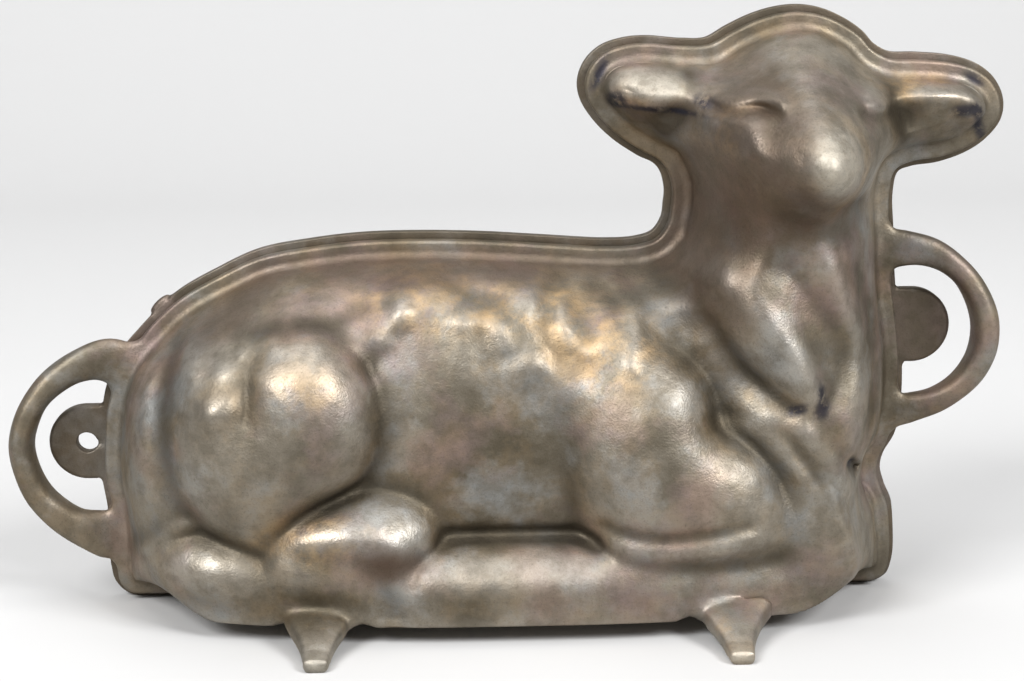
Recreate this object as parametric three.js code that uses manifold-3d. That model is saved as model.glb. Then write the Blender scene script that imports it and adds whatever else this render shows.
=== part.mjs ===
// A two-part cast-iron cake mould in the shape of a reclining lamb, closed and standing on its base.
// Millimetres, +Z up. The face looks along -Y, the parting plane is square to Y.
import * as THREE from "three";
import { mergeVertices } from "three/addons/utils/BufferGeometryUtils.js";
import Module from "manifold-3d";

const wasm = await Module();
wasm.setup();

// Driving dimensions.
const mouldLength = 293; // rump to the tip of the far ear, over the front half's rim
const mouldHeight = 190.5; // underside to crown, over the front half's rim
const faceDepth = 75; // parting plane to the nose and to the ends of the feet
const frontSlabDepth = 55; // parting plane to the front of the slab that the lamb lies on
const backSlabDepth = 48;
const slabHeight = 27;
const wall = 4;
const rimWidth = 5; // flat rim between the outline and the foot of the wall
const soleRimWidth = 2; // the same along the underside
const rimThickness = 5;
const backOverhang = 2.2; // how far the back half's rim stands out past the front half's
const partingGap = 0.3;
const wallDraftAngle = 17; // degrees from square to the parting plane
const soleDraftAngle = 2;
const wallBlend = 10; // rounding between the side wall and the figure
const soleBlend = 5;
const formBlend = 2.6; // rounding where two forms of the figure meet
const handleDepth = 15; // at the middle of each loop
const handleRootDepth = 6.5;
const handleChamfer = 2.4;
const footWidth = 7.8;
const footHeight = 4;
const footRootWidth = 22;
const footRootHeight = 9;
const footRootRise = 4.5; // underside of the root above the ground
const footSole = 6; // length of the flat sole behind the end of each foot
const footChamfer = 0.8;
const tabRadius = 12.5;
const tabThickness = 5;
const hangTabReach = 31; // from the tab's root place inside the rim to the middle of its round end
const plainTabReach = 28.5; // the same for the tab without a hole
const hangHoleDiameter = 7;
const lugWidth = 4;
const lugReach = 3;
const overrun = 1; // how far every cut runs past the face it opens
const mergeReach = 4e-5; // points closer than this are one point

// Places along the outline and inside it: x as a share of the length from the middle of the base,
// z as a share of the height above the front rim's underside.
const spineShares = {
  rump: [-0.341, 0.261],
  loin: [-0.246, 0.324],
  flank: [-0.143, 0.345],
  belly: [-0.041, 0.356],
  ribs: [0.061, 0.356],
  elbow: [0.164, 0.356],
  breast: [0.273, 0.345],
  brisket: [0.362, 0.219],
  nape: [0.287, 0.513],
  throat: [0.307, 0.66],
  face: [0.311, 0.807],
  crown: [0.314, 0.891],
  earRoot: [0.205, 0.865],
  earTip: [0.143, 0.881],
  farRoot: [0.423, 0.839],
  farTip: [0.491, 0.839],
};

// The outline, clockwise from the lower left corner. Each stretch leans inward to the spine between
// two of its places, and the two stretches on either side of a length of spine have as many columns.
const rimStretchShares = [
  { from: "rump", to: "rump", columns: 16, points: [
    [-0.403, 0], [-0.429, 0.004], [-0.44, 0.023], [-0.444, 0.057], [-0.443, 0.104],
    [-0.445, 0.156], [-0.45, 0.219], [-0.448, 0.293], [-0.441, 0.361], [-0.427, 0.416]] },
  { from: "rump", to: "loin", columns: 6, points: [[-0.404, 0.459], [-0.361, 0.522]] },
  { from: "loin", to: "flank", columns: 6, points: [[-0.314, 0.563], [-0.269, 0.594]] },
  { from: "flank", to: "belly", columns: 6, points: [[-0.212, 0.61], [-0.157, 0.619]] },
  { from: "belly", to: "ribs", columns: 6, points: [[-0.092, 0.621], [-0.024, 0.618]] },
  { from: "ribs", to: "elbow", columns: 6, points: [[0.044, 0.611]] },
  { from: "elbow", to: "breast", columns: 4, points: [[0.116, 0.604], [0.15, 0.607]] },
  { from: "breast", to: "nape", columns: 4, points: [[0.171, 0.618], [0.183, 0.643]] },
  { from: "nape", to: "throat", columns: 4, points: [[0.187, 0.673], [0.188, 0.7]] },
  { from: "throat", to: "face", columns: 3, points: [[0.184, 0.729]] },
  { from: "face", to: "earRoot", columns: 3, points: [[0.174, 0.752]] },
  { from: "earRoot", to: "earTip", columns: 4, points: [[0.151, 0.772], [0.127, 0.797]] },
  { from: "earTip", to: "earTip", columns: 9, points: [
    [0.107, 0.827], [0.094, 0.858], [0.091, 0.884], [0.097, 0.912], [0.112, 0.935], [0.135, 0.947]] },
  { from: "earTip", to: "earRoot", columns: 4, points: [[0.159, 0.95]] },
  { from: "earRoot", to: "face", columns: 3, points: [[0.198, 0.945]] },
  { from: "face", to: "crown", columns: 4, points: [[0.227, 0.947], [0.251, 0.967]] },
  { from: "crown", to: "crown", columns: 5, points: [
    [0.276, 0.985], [0.3, 0.996], [0.325, 1], [0.348, 0.995]] },
  { from: "crown", to: "face", columns: 4, points: [[0.37, 0.981], [0.391, 0.96]] },
  { from: "face", to: "farRoot", columns: 3, points: [[0.406, 0.936]] },
  { from: "farRoot", to: "farTip", columns: 4, points: [[0.427, 0.92], [0.457, 0.918]] },
  { from: "farTip", to: "farTip", columns: 9, points: [
    [0.493, 0.913], [0.52, 0.901], [0.539, 0.879], [0.549, 0.849], [0.548, 0.82], [0.534, 0.791]] },
  { from: "farTip", to: "farRoot", columns: 4, points: [[0.514, 0.77], [0.485, 0.754]] },
  { from: "farRoot", to: "face", columns: 3, points: [[0.452, 0.746]] },
  { from: "face", to: "throat", columns: 3, points: [[0.435, 0.732]] },
  { from: "throat", to: "nape", columns: 4, points: [[0.429, 0.692], [0.431, 0.629]] },
  { from: "nape", to: "breast", columns: 4, points: [[0.435, 0.534]] },
  { from: "breast", to: "brisket", columns: 4, points: [[0.444, 0.429], [0.446, 0.33]] },
  { from: "brisket", to: "brisket", columns: 16, points: [
    [0.44, 0.269], [0.427, 0.229], [0.424, 0.204], [0.428, 0.177], [0.437, 0.141],
    [0.441, 0.093], [0.441, 0.041], [0.435, 0.011], [0.422, 0.001]] },
  { from: "brisket", to: "breast", columns: 4, points: [[0.386, 0]] },
  { from: "breast", to: "elbow", columns: 4, points: [[0.321, 0]] },
  { from: "elbow", to: "ribs", columns: 6, points: [[0.225, 0]] },
  { from: "ribs", to: "belly", columns: 6, points: [[0.109, 0]] },
  { from: "belly", to: "flank", columns: 6, points: [[-0.014, 0]] },
  { from: "flank", to: "loin", columns: 6, points: [[-0.137, 0]] },
  { from: "loin", to: "rump", columns: 6, points: [[-0.266, 0]] },
];

// Forms of the figure: x, z, half length, half height, tilt in degrees, depth at the top, fall at one
// half size from the middle, and the power of that fall. Depths are shares of the face's depth.
const frontFormShares = {
  body: [-0.027, 0.303, 0.416, 0.273, 0, 0.587, 0.2, 2.3],
  rump: [-0.294, 0.314, 0.109, 0.21, 0, 0.587, 0.133, 2.4],
  thigh: [-0.215, 0.351, 0.089, 0.163, 10, 0.787, 0.147, 4],
  thighEnd: [-0.246, 0.23, 0.055, 0.115, -28, 0.733, 0.11, 2.2],
  hip: [-0.314, 0.335, 0.045, 0.157, 4, 0.693, 0.11, 2.2],
  hindShank: [-0.191, 0.188, 0.095, 0.05, 18, 0.76, 0.11, 2],
  hindFoot: [-0.116, 0.172, 0.04, 0.07, 30, 0.773, 0.11, 2],
  shoulder: [0.15, 0.366, 0.072, 0.168, -6, 0.733, 0.12, 3.6],
  upperArm: [0.184, 0.282, 0.068, 0.089, -24, 0.747, 0.12, 3.2],
  forearm: [0.205, 0.167, 0.115, 0.055, 2, 0.787, 0.11, 2.2],
  knee: [0.29, 0.209, 0.05, 0.075, 0, 0.787, 0.11, 2],
  hoof: [0.119, 0.162, 0.036, 0.045, 6, 0.773, 0.1, 2],
  chest: [0.328, 0.324, 0.089, 0.168, 0, 0.653, 0.12, 2.6],
  neck: [0.307, 0.576, 0.106, 0.241, 6, 0.627, 0.16, 2.6],
  lock: [0.266, 0.492, 0.036, 0.157, 33, 0.72, 0.1, 2.2],
  head: [0.304, 0.849, 0.092, 0.131, 0, 0.747, 0.28, 2.2],
  cheek: [0.321, 0.813, 0.058, 0.089, 0, 0.827, 0.133, 2.6],
  muzzle: [0.324, 0.786, 0.043, 0.076, 0, 1, 0.16, 2.6],
  nearEar: [0.154, 0.87, 0.085, 0.08, -8, 0.24, 0.07, 2.2],
  farEar: [0.485, 0.839, 0.08, 0.075, 6, 0.24, 0.07, 2.2],
};
const backFormShares = {
  body: [-0.027, 0.303, 0.416, 0.273, 0, 0.56, 0.2, 2.3],
  rump: [-0.294, 0.314, 0.109, 0.21, 0, 0.533, 0.16, 2.4],
  thigh: [-0.205, 0.324, 0.099, 0.163, -8, 0.667, 0.147, 3.6],
  hindFoot: [-0.137, 0.167, 0.1, 0.055, 4, 0.667, 0.11, 2.2],
  shoulder: [0.218, 0.335, 0.085, 0.168, 6, 0.653, 0.133, 3.2],
  forearm: [0.239, 0.167, 0.11, 0.055, 0, 0.667, 0.11, 2.2],
  neck: [0.307, 0.576, 0.106, 0.241, 6, 0.56, 0.187, 2.4],
  head: [0.307, 0.844, 0.092, 0.131, 0, 0.6, 0.253, 2.2],
  nearEar: [0.154, 0.87, 0.085, 0.08, -8, 0.227, 0.07, 2.2],
  farEar: [0.485, 0.839, 0.08, 0.075, 6, 0.227, 0.07, 2.2],
};

// Wool, creases, brows and pits: x, z, half length, half height, tilt in degrees, height.
const frontLumpShares = [
  [-0.157, 0.471, 0.055, 0.016, -52, -0.047],
  [-0.276, 0.42, 0.017, 0.073, 0, -0.035],
  [-0.311, 0.398, 0.02, 0.03, 0, 0.03],
  [-0.294, 0.45, 0.027, 0.018, 0, 0.027],
  [-0.256, 0.513, 0.02, 0.021, 0, -0.02],
  [-0.133, 0.487, 0.017, 0.042, 30, 0.019],
  [-0.082, 0.555, 0.027, 0.026, 0, 0.024],
  [-0.031, 0.55, 0.014, 0.037, 10, -0.035],
  [0.014, 0.555, 0.024, 0.031, 0, 0.024],
  [-0.034, 0.508, 0.031, 0.026, 0, 0.019],
  [0.048, 0.545, 0.012, 0.047, -20, -0.035],
  [0.065, 0.498, 0.017, 0.042, 20, 0.029],
  [0.085, 0.508, 0.017, 0.026, 0, -0.029],
  [0.113, 0.566, 0.027, 0.031, 10, -0.029],
  [0.133, 0.487, 0.014, 0.058, -10, 0.021],
  [0.171, 0.498, 0.014, 0.073, 38, -0.032],
  [0.232, 0.881, 0.041, 0.021, 12, 0.032],
  [0.256, 0.86, 0.031, 0.024, 0, -0.045],
  [0.249, 0.828, 0.034, 0.026, 20, 0.035],
];
const backLumpShares = [
  [-0.137, 0.471, 0.048, 0.021, -40, -0.032],
  [-0.294, 0.429, 0.02, 0.063, 0, -0.027],
  [-0.205, 0.545, 0.031, 0.026, 0, 0.021],
  [-0.102, 0.534, 0.031, 0.031, 10, 0.021],
  [-0.041, 0.492, 0.017, 0.047, 20, -0.027],
  [0.02, 0.545, 0.031, 0.031, 0, 0.023],
  [0.082, 0.545, 0.014, 0.047, 16, -0.027],
  [0.13, 0.471, 0.027, 0.052, -20, -0.027],
  [0.212, 0.555, 0.027, 0.094, -30, 0.024],
];

// Handle loops, root to root: outer edge x, z, then the finger gap's edge x, z.
const leftHandleShares = [
  [-0.39, 0.446, -0.426, 0.348],
  [-0.444, 0.457, -0.451, 0.384],
  [-0.477, 0.44, -0.471, 0.384],
  [-0.511, 0.406, -0.493, 0.367],
  [-0.534, 0.364, -0.51, 0.343],
  [-0.548, 0.319, -0.521, 0.309],
  [-0.553, 0.277, -0.526, 0.275],
  [-0.549, 0.23, -0.522, 0.238],
  [-0.536, 0.175, -0.511, 0.201],
  [-0.51, 0.124, -0.493, 0.172],
  [-0.477, 0.085, -0.476, 0.156],
  [-0.452, 0.062, -0.457, 0.154],
  [-0.428, 0.051, -0.432, 0.167],
];
const rightHandleShares = [
  [0.413, 0.642, 0.418, 0.545],
  [0.447, 0.629, 0.454, 0.567],
  [0.487, 0.611, 0.481, 0.562],
  [0.52, 0.572, 0.503, 0.54],
  [0.54, 0.531, 0.516, 0.508],
  [0.552, 0.485, 0.524, 0.469],
  [0.554, 0.44, 0.524, 0.435],
  [0.549, 0.402, 0.518, 0.403],
  [0.534, 0.359, 0.503, 0.371],
  [0.5, 0.314, 0.481, 0.349],
  [0.466, 0.29, 0.459, 0.342],
  [0.428, 0.267, 0.43, 0.345],
];

const footShares = [-0.205, 0.239]; // x of the two feet
const hangTabShares = [-0.366, 0.269]; // x and z that the tab with the hole reaches out from
const plainTabShares = [0.366, 0.457];
const lugShares = [-0.381, 0.506];
const slabMiddleShare = 0.003;
const slabHalfLengthShare = 0.435;
const slabEdgeFallShare = 0.067; // of the face's depth, at the slab's top and bottom edges
const slabCornerPower = 2.8;
const slabEdgePower = 6;
const tabRootShare = 0.1; // of the reach that lies inside the rim
const rowCrowding = 1.2; // power that draws the rows of a skin towards its foot
const outerRowCount = 15;
const hollowRowCount = 8;
const outlineSteps = 12; // fine steps along the outline curve from one of its points to the next
const loopSteps = 24;
const tabArcSegments = 16;
const leastAdvance = 0.4; // keeps a column that leans far to one side from running away
const leastRest = 1e-6; // the rest of the way to the spine never counts as less than this
const slabEndLimit = 0.999; // of the slab's half length, where its plan curve is steepest
const steepestSquare = 2; // square of the steepest slope that the wall's thickness follows
const footStepShares = [0, 0.3, 0.45, 0.6]; // rings of a foot ahead of the one where its sole starts

// The outline stands clear of the ground by the back rim's overhang, which is what the mould rests on.
const groundLift = backOverhang;
const place = ([x, z]) => new THREE.Vector2(x * mouldLength, groundLift + z * mouldHeight);

// Points at even steps along the closed outline curve between two of its points. None lies below the
// flat underside.
function alongOutline(outline, pointCount, first, last, count) {
  const fineSteps = (last - first) * outlineSteps;
  const fine = [];
  for (let step = 0; step <= fineSteps; step += 1) {
    const at = (first + ((last - first) * step) / fineSteps) / pointCount;
    fine.push(outline(at % 1));
  }
  const lengths = [0];
  for (let step = 1; step < fine.length; step += 1) {
    lengths.push(lengths[step - 1] + fine[step].distanceTo(fine[step - 1]));
  }
  const points = [];
  let span = 1;
  for (let index = 0; index < count; index += 1) {
    const goal = (lengths[fineSteps] * index) / count;
    while (lengths[span] < goal) span += 1;
    const part = (goal - lengths[span - 1]) / (lengths[span] - lengths[span - 1]);
    const point = fine[span - 1].clone().lerp(fine[span], part);
    point.y = Math.max(point.y, groundLift);
    const along = fine[span].clone().sub(fine[span - 1]).normalize();
    points.push({ point, inward: new THREE.Vector2(along.y, -along.x) });
  }
  return points;
}

// A place on the spine, worked out alike whichever way the outline passes it.
function spinePlace({ from, to, columns: count }, index) {
  const [start, end, steps] = from < to ? [from, to, index] : [to, from, count - index];
  return place(spineShares[start]).lerp(place(spineShares[end]), steps / count);
}

// Columns of the figure: a place on the outline, the spine place it leans to, the unit lean between
// them, how far one unit of that lean goes in from the outline, and how far the side faces down.
function makeColumns() {
  const points = rimStretchShares.flatMap((stretch) => stretch.points).map(place);
  const flat = points.map((point) => new THREE.Vector3(point.x, point.y, 0));
  const curve = new THREE.CatmullRomCurve3(flat, true, "centripetal");
  const outline = (at) => {
    const spot = curve.getPoint(at);
    return new THREE.Vector2(spot.x, spot.y);
  };
  const columns = [];
  let first = 0;
  for (const stretch of rimStretchShares) {
    const last = first + stretch.points.length;
    const samples = alongOutline(outline, points.length, first, last, stretch.columns);
    samples.forEach(({ point, inward }, index) => {
      const spine = spinePlace(stretch, index);
      const lean = spine.clone().sub(point).normalize();
      const advance = Math.max(lean.dot(inward), leastAdvance);
      const sole = Math.max(inward.y, 0) ** 6;
      columns.push({ point, spine, lean, advance, sole });
    });
    first = last;
  }
  return columns;
}
const columns = makeColumns();

// Square of the distance from a form's middle, counted in its half sizes along its turned axes.
function turned(x, z, halfLength, halfHeight, tilt) {
  const middle = place([x, z]);
  const turn = THREE.MathUtils.degToRad(tilt);
  const cosine = Math.cos(turn);
  const sine = Math.sin(turn);
  const reachX = halfLength * mouldLength;
  const reachZ = halfHeight * mouldHeight;
  return (px, pz) => {
    const across = ((px - middle.x) * cosine + (pz - middle.y) * sine) / reachX;
    const up = ((pz - middle.y) * cosine - (px - middle.x) * sine) / reachZ;
    return across * across + up * up;
  };
}
function makeForm([x, z, halfLength, halfHeight, tilt, top, fall, power]) {
  const square = turned(x, z, halfLength, halfHeight, tilt);
  return (px, pz) => faceDepth * (top - fall * square(px, pz) ** (power / 2));
}
function makeLump([x, z, halfLength, halfHeight, tilt, height]) {
  const square = turned(x, z, halfLength, halfHeight, tilt);
  return (px, pz) => faceDepth * height * Math.exp(-square(px, pz));
}

// The slab that the lamb lies on: rounded ends in plan, and a crisp upper edge.
function makeSlab(depth) {
  const middleX = slabMiddleShare * mouldLength;
  const halfLength = slabHalfLengthShare * mouldLength;
  const middleZ = groundLift + slabHeight / 2;
  return (px, pz) => {
    const end = Math.min(Math.abs(px - middleX) / halfLength, slabEndLimit);
    const plan = depth * (1 - end ** slabCornerPower) ** (1 / slabCornerPower);
    const edge = Math.abs(pz - middleZ) / (slabHeight / 2);
    return plan - faceDepth * slabEdgeFallShare * edge ** slabEdgePower;
  };
}

// Depth of a whole figure over the parting plane: the smoothly greatest of its forms, plus its lumps.
function makeFigure(formShares, lumpShares, slabDepth) {
  const forms = Object.values(formShares).map(makeForm);
  forms.push(makeSlab(slabDepth));
  const lumps = lumpShares.map(makeLump);
  return (x, z) => {
    const depths = forms.map((form) => form(x, z));
    const greatest = Math.max(...depths);
    const sum = depths.reduce((total, depth) => total + Math.exp((depth - greatest) / formBlend), 0);
    return greatest + formBlend * Math.log(sum) + lumps.reduce((total, lump) => total + lump(x, z), 0);
  };
}

// The smoothly smaller of two depths, rounded over the given length.
function smoothSmaller(a, b, blend) {
  const share = THREE.MathUtils.clamp(0.5 + (0.5 * (b - a)) / blend, 0, 1);
  return b * (1 - share) + a * share - blend * share * (1 - share);
}
const slope = (column) => {
  const side = Math.tan(THREE.MathUtils.degToRad(wallDraftAngle));
  const sole = Math.tan(THREE.MathUtils.degToRad(soleDraftAngle));
  return side + (sole - side) * column.sole;
};
const blendOf = (column) => wallBlend + (soleBlend - wallBlend) * column.sole;
const rimWidthOf = (column) => rimWidth + (soleRimWidth - rimWidth) * column.sole;

// Row of points at a given inset from the outline, all at one depth.
const insetPoint = (column, inset) =>
  column.point.clone().addScaledVector(column.lean, inset / column.advance);

// Rows of a skin from its foot to the spine. The side wall rises with its draft from the foot and
// ever more steeply towards the spine, where the figure alone is left.
function skinRows(footInset, footDepth, rowCount, figure) {
  const rows = [];
  for (let row = 1; row <= rowCount; row += 1) {
    const share = (row / rowCount) ** rowCrowding;
    rows.push(columns.map((column) => {
      const foot = insetPoint(column, footInset(column));
      const spot = row === rowCount ? column.spine.clone() : foot.clone().lerp(column.spine, share);
      const run = foot.distanceTo(spot) * column.advance;
      const side = footDepth + run / slope(column) / Math.max(1 - share ** 4, leastRest);
      const depth = smoothSmaller(side, figure(spot.x, spot.y), blendOf(column));
      return new THREE.Vector3(spot.x, Math.max(depth, footDepth), spot.y);
    }));
  }
  return rows;
}
const levelRow = (depth, spotOf) => columns.map((column) => {
  const spot = spotOf(column);
  return new THREE.Vector3(spot.x, depth, spot.y);
});

// The outside of a half, with its rim, closed by the parting face.
function outerRows(figure, overhang) {
  return [
    levelRow(0, (column) => column.spine),
    levelRow(0, (column) => insetPoint(column, -overhang)),
    levelRow(rimThickness, (column) => insetPoint(column, -overhang)),
    levelRow(rimThickness, (column) => insetPoint(column, rimWidthOf(column))),
    ...skinRows(rimWidthOf, rimThickness, outerRowCount, figure),
  ];
}

// The hollow of a half: the outside drawn in by the wall, run out past the parting face.
function hollowRows(figure) {
  const mouthInset = (column) => rimWidthOf(column) + wall - rimThickness * slope(column);
  const probe = wall / 8;
  const thinned = (x, z) => {
    const slopeX = (figure(x + probe, z) - figure(x - probe, z)) / (2 * probe);
    const slopeZ = (figure(x, z + probe) - figure(x, z - probe)) / (2 * probe);
    const steep = Math.min(slopeX * slopeX + slopeZ * slopeZ, steepestSquare);
    return figure(x, z) - wall * Math.sqrt(1 + steep);
  };
  return [
    levelRow(-overrun, (column) => column.spine),
    levelRow(-overrun, (column) => insetPoint(column, mouthInset(column))),
    levelRow(0, (column) => insetPoint(column, mouthInset(column))),
    ...skinRows(mouthInset, 0, hollowRowCount, thinned),
  ];
}

// A closed solid from rows of points that each go once round, with both end rows drawn shut.
function solidFromRows(rows) {
  const width = rows[0].length;
  const positions = rows.flat().flatMap((point) => [point.x, point.y, point.z]);
  const index = [];
  for (let row = 0; row + 1 < rows.length; row += 1) {
    for (let column = 0; column < width; column += 1) {
      const a = row * width + column;
      const b = row * width + ((column + 1) % width);
      const c = a + width;
      const d = b + width;
      index.push(a, b, d, a, d, c);
    }
  }
  const geometry = new THREE.BufferGeometry();
  geometry.setAttribute("position", new THREE.Float32BufferAttribute(positions, 3));
  geometry.setIndex(index);
  return solidFromGeometry(geometry);
}

// Merges like points, drops triangles that have closed up, and gives the solid with its faces out.
function solidFromGeometry(geometry) {
  const plain = geometry.clone();
  plain.deleteAttribute("normal");
  plain.deleteAttribute("uv");
  const merged = mergeVertices(plain, mergeReach);
  const corners = Array.from(merged.index.array);
  const places = merged.attributes.position;
  const cornerAt = (corner) => new THREE.Vector3().fromBufferAttribute(places, corner);
  const kept = [];
  let volume = 0;
  for (let first = 0; first < corners.length; first += 3) {
    const [a, b, c] = corners.slice(first, first + 3);
    if (a === b || b === c || c === a) continue;
    kept.push(a, b, c);
    volume += cornerAt(a).dot(cornerAt(b).cross(cornerAt(c))) / 6;
  }
  if (volume < 0) kept.reverse();
  const vertProperties = new Float32Array(places.array);
  const triVerts = new Uint32Array(kept);
  return new wasm.Manifold(new wasm.Mesh({ numProp: 3, vertProperties, triVerts }));
}

// A closed solid through rings of points, with flat end caps fanned from their middles.
function solidFromRings(rings) {
  const middleOf = (ring) =>
    ring.reduce((sum, point) => sum.add(point), new THREE.Vector3()).divideScalar(ring.length);
  const cap = (ring) => ring.map(() => middleOf(ring));
  return solidFromRows([cap(rings[0]), ...rings, cap(rings[rings.length - 1])]);
}

// Corners of a chamfered bar section, given by half its two sizes.
const barCorners = (halfWide, halfHigh, chamfer) => [
  [halfWide, halfHigh - chamfer], [halfWide - chamfer, halfHigh],
  [chamfer - halfWide, halfHigh], [-halfWide, halfHigh - chamfer],
  [-halfWide, chamfer - halfHigh], [chamfer - halfWide, -halfHigh],
  [halfWide - chamfer, -halfHigh], [halfWide, chamfer - halfHigh],
];

// A finger loop: a bar from root to root, as wide as the band between its two edges and deepest at
// the middle, with one side lying in the parting plane.
function handleSolid(stationShares) {
  const outer = new THREE.SplineCurve(stationShares.map(([x, z]) => place([x, z])));
  const inner = new THREE.SplineCurve(stationShares.map((station) => place(station.slice(2))));
  const rings = [];
  for (let step = 0; step <= loopSteps; step += 1) {
    const out = outer.getPoint(step / loopSteps);
    const gap = inner.getPoint(step / loopSteps);
    const middle = out.clone().lerp(gap, 0.5);
    const across = out.clone().sub(gap).normalize();
    const swell = Math.sin((Math.PI * step) / loopSteps);
    const depth = handleRootDepth + (handleDepth - handleRootDepth) * swell;
    const corners = barCorners(out.distanceTo(gap) / 2, depth / 2, handleChamfer);
    rings.push(corners.map(([wide, high]) => new THREE.Vector3(
      middle.x + across.x * wide, depth / 2 + high, middle.y + across.y * wide)));
  }
  return solidFromRings(rings);
}

// A foot: a tapering bracket from the front of the slab out to the depth of the nose, flat on the
// ground at its end.
function footSolid(xShare) {
  const middleX = xShare * mouldLength;
  const rootDepth = frontSlabDepth - wall;
  const reach = faceDepth - rootDepth;
  const soleStart = 1 - footSole / reach;
  const rings = [...footStepShares, soleStart, 1].map((along) => {
    const left = (1 - along) ** 2;
    const rise = footRootRise * (1 - along / soleStart);
    const low = Math.max(rise, 0);
    const wide = footWidth + (footRootWidth - footWidth) * left;
    const high = footHeight + (footRootHeight - footHeight) * (1 - along);
    return barCorners(wide / 2, high / 2, footChamfer).map(([x, z]) => new THREE.Vector3(
      middleX + x, rootDepth + reach * along, low + high / 2 + z));
  });
  return solidFromRings(rings);
}

// A flat plate in the parting plane, drawn as a shape in x and z and as thick as asked.
function plateSolid(shape, thickness, from) {
  const settings = { depth: thickness, bevelEnabled: false, curveSegments: tabArcSegments };
  const geometry = new THREE.ExtrudeGeometry(shape, settings);
  geometry.rotateX(Math.PI / 2);
  geometry.translate(0, from + thickness, 0);
  return solidFromGeometry(geometry);
}

// A tab: a strip with a round end, reaching out from inside the rim, with or without a hole.
function tabSolid(rootShares, reach, holeDiameter) {
  const root = place(rootShares);
  const side = Math.sign(root.x);
  const middleX = root.x + side * reach;
  const rootX = root.x + side * reach * tabRootShare;
  const shape = new THREE.Shape();
  shape.moveTo(rootX, root.y - tabRadius);
  shape.lineTo(middleX, root.y - tabRadius);
  shape.absarc(middleX, root.y, tabRadius, -Math.PI / 2, Math.PI / 2, side < 0);
  shape.lineTo(rootX, root.y + tabRadius);
  shape.closePath();
  if (holeDiameter > 0) {
    const hole = new THREE.Path();
    hole.absarc(middleX, root.y, holeDiameter / 2, 0, 2 * Math.PI, false);
    shape.holes.push(hole);
  }
  return plateSolid(shape, tabThickness, 0);
}

// The stub of a casting gate on the upper left of the back rim.
function lugSolid() {
  const geometry = new THREE.BoxGeometry(lugWidth, rimThickness, lugReach * 2);
  const spot = place(lugShares);
  geometry.translate(spot.x, rimThickness / 2, spot.y + backOverhang);
  return solidFromGeometry(geometry);
}

// A three.js mesh from a finished solid.
function meshFromSolid(name, solid, material) {
  const mesh = solid.getMesh();
  const geometry = new THREE.BufferGeometry();
  geometry.setAttribute("position", new THREE.Float32BufferAttribute(mesh.vertProperties, 3));
  geometry.setIndex(Array.from(mesh.triVerts));
  geometry.computeVertexNormals();
  const piece = new THREE.Mesh(geometry, material);
  piece.name = name;
  return piece;
}

// Front half: depths run along -Y. Back half: depths run along +Y.
const toFront = (solid) => solid.mirror([0, 1, 0]).translate([0, -partingGap / 2, 0]);
const toBack = (solid) => solid.translate([0, partingGap / 2, 0]);

const castIron = new THREE.MeshStandardMaterial({ color: 0x8d8374, roughness: 0.42, metalness: 0.85 });
const darkIron = new THREE.MeshStandardMaterial({ color: 0x6f6558, roughness: 0.5, metalness: 0.8 });

function makeFrontHalf() {
  const figure = makeFigure(frontFormShares, frontLumpShares, frontSlabDepth);
  let solid = solidFromRows(outerRows(figure, 0));
  solid = solid.add(handleSolid(leftHandleShares));
  solid = solid.add(handleSolid(rightHandleShares));
  for (const xShare of footShares) solid = solid.add(footSolid(xShare));
  solid = solid.subtract(solidFromRows(hollowRows(figure)));
  return meshFromSolid("front_half", toFront(solid), castIron);
}

function makeBackHalf() {
  const figure = makeFigure(backFormShares, backLumpShares, backSlabDepth);
  let solid = solidFromRows(outerRows(figure, backOverhang));
  solid = solid.add(tabSolid(hangTabShares, hangTabReach, hangHoleDiameter));
  solid = solid.add(tabSolid(plainTabShares, plainTabReach, 0));
  solid = solid.add(lugSolid());
  solid = solid.subtract(solidFromRows(hollowRows(figure)));
  return meshFromSolid("back_half", toBack(solid), darkIron);
}

const mould = new THREE.Group();
mould.add(makeFrontHalf(), makeBackHalf());

// The mould stands on the ground with the middle of its box over the origin.
const box = new THREE.Box3().setFromObject(mould);
mould.position.set(-(box.min.x + box.max.x) / 2, -(box.min.y + box.max.y) / 2, -box.min.z);

export default mould;
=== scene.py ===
import math

import bpy
import bmesh
import numpy as np
from mathutils import Matrix, Vector
from mathutils.kdtree import KDTree


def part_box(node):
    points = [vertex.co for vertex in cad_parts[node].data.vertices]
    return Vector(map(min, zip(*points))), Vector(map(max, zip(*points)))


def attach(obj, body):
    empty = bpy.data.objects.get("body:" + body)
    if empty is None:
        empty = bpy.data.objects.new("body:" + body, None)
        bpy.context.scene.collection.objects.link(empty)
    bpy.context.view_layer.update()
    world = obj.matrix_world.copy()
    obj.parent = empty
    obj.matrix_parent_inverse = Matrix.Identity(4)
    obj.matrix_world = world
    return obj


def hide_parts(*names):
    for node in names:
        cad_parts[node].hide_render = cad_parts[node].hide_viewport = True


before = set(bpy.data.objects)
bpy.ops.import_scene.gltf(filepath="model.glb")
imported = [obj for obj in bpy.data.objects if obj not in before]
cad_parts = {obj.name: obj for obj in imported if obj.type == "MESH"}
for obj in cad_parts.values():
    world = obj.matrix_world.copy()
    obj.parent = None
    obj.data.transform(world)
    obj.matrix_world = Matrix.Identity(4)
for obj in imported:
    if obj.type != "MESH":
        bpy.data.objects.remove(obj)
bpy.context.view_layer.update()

# The camera looks at the closed mould a little from above and from the left, from 0.7 m away.
# Its target lies in the parting plane, which the rear face of the front half's rim gives.
MM = 0.001
PARTING_GAP = 0.3 * MM
front_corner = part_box("front_half")[1]
parting_y = front_corner[1] + PARTING_GAP / 2
middle_x = -0.45 * MM
view_target = Vector((middle_x + 2.8 * MM, parting_y, 86 * MM))
view_distance = 700 * MM
view_azimuth = math.radians(-2.0)
view_elevation = math.radians(12.2)
view_roll = math.radians(-0.4)
picture_width_px = 1024
picture_height_px = 681
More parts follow.
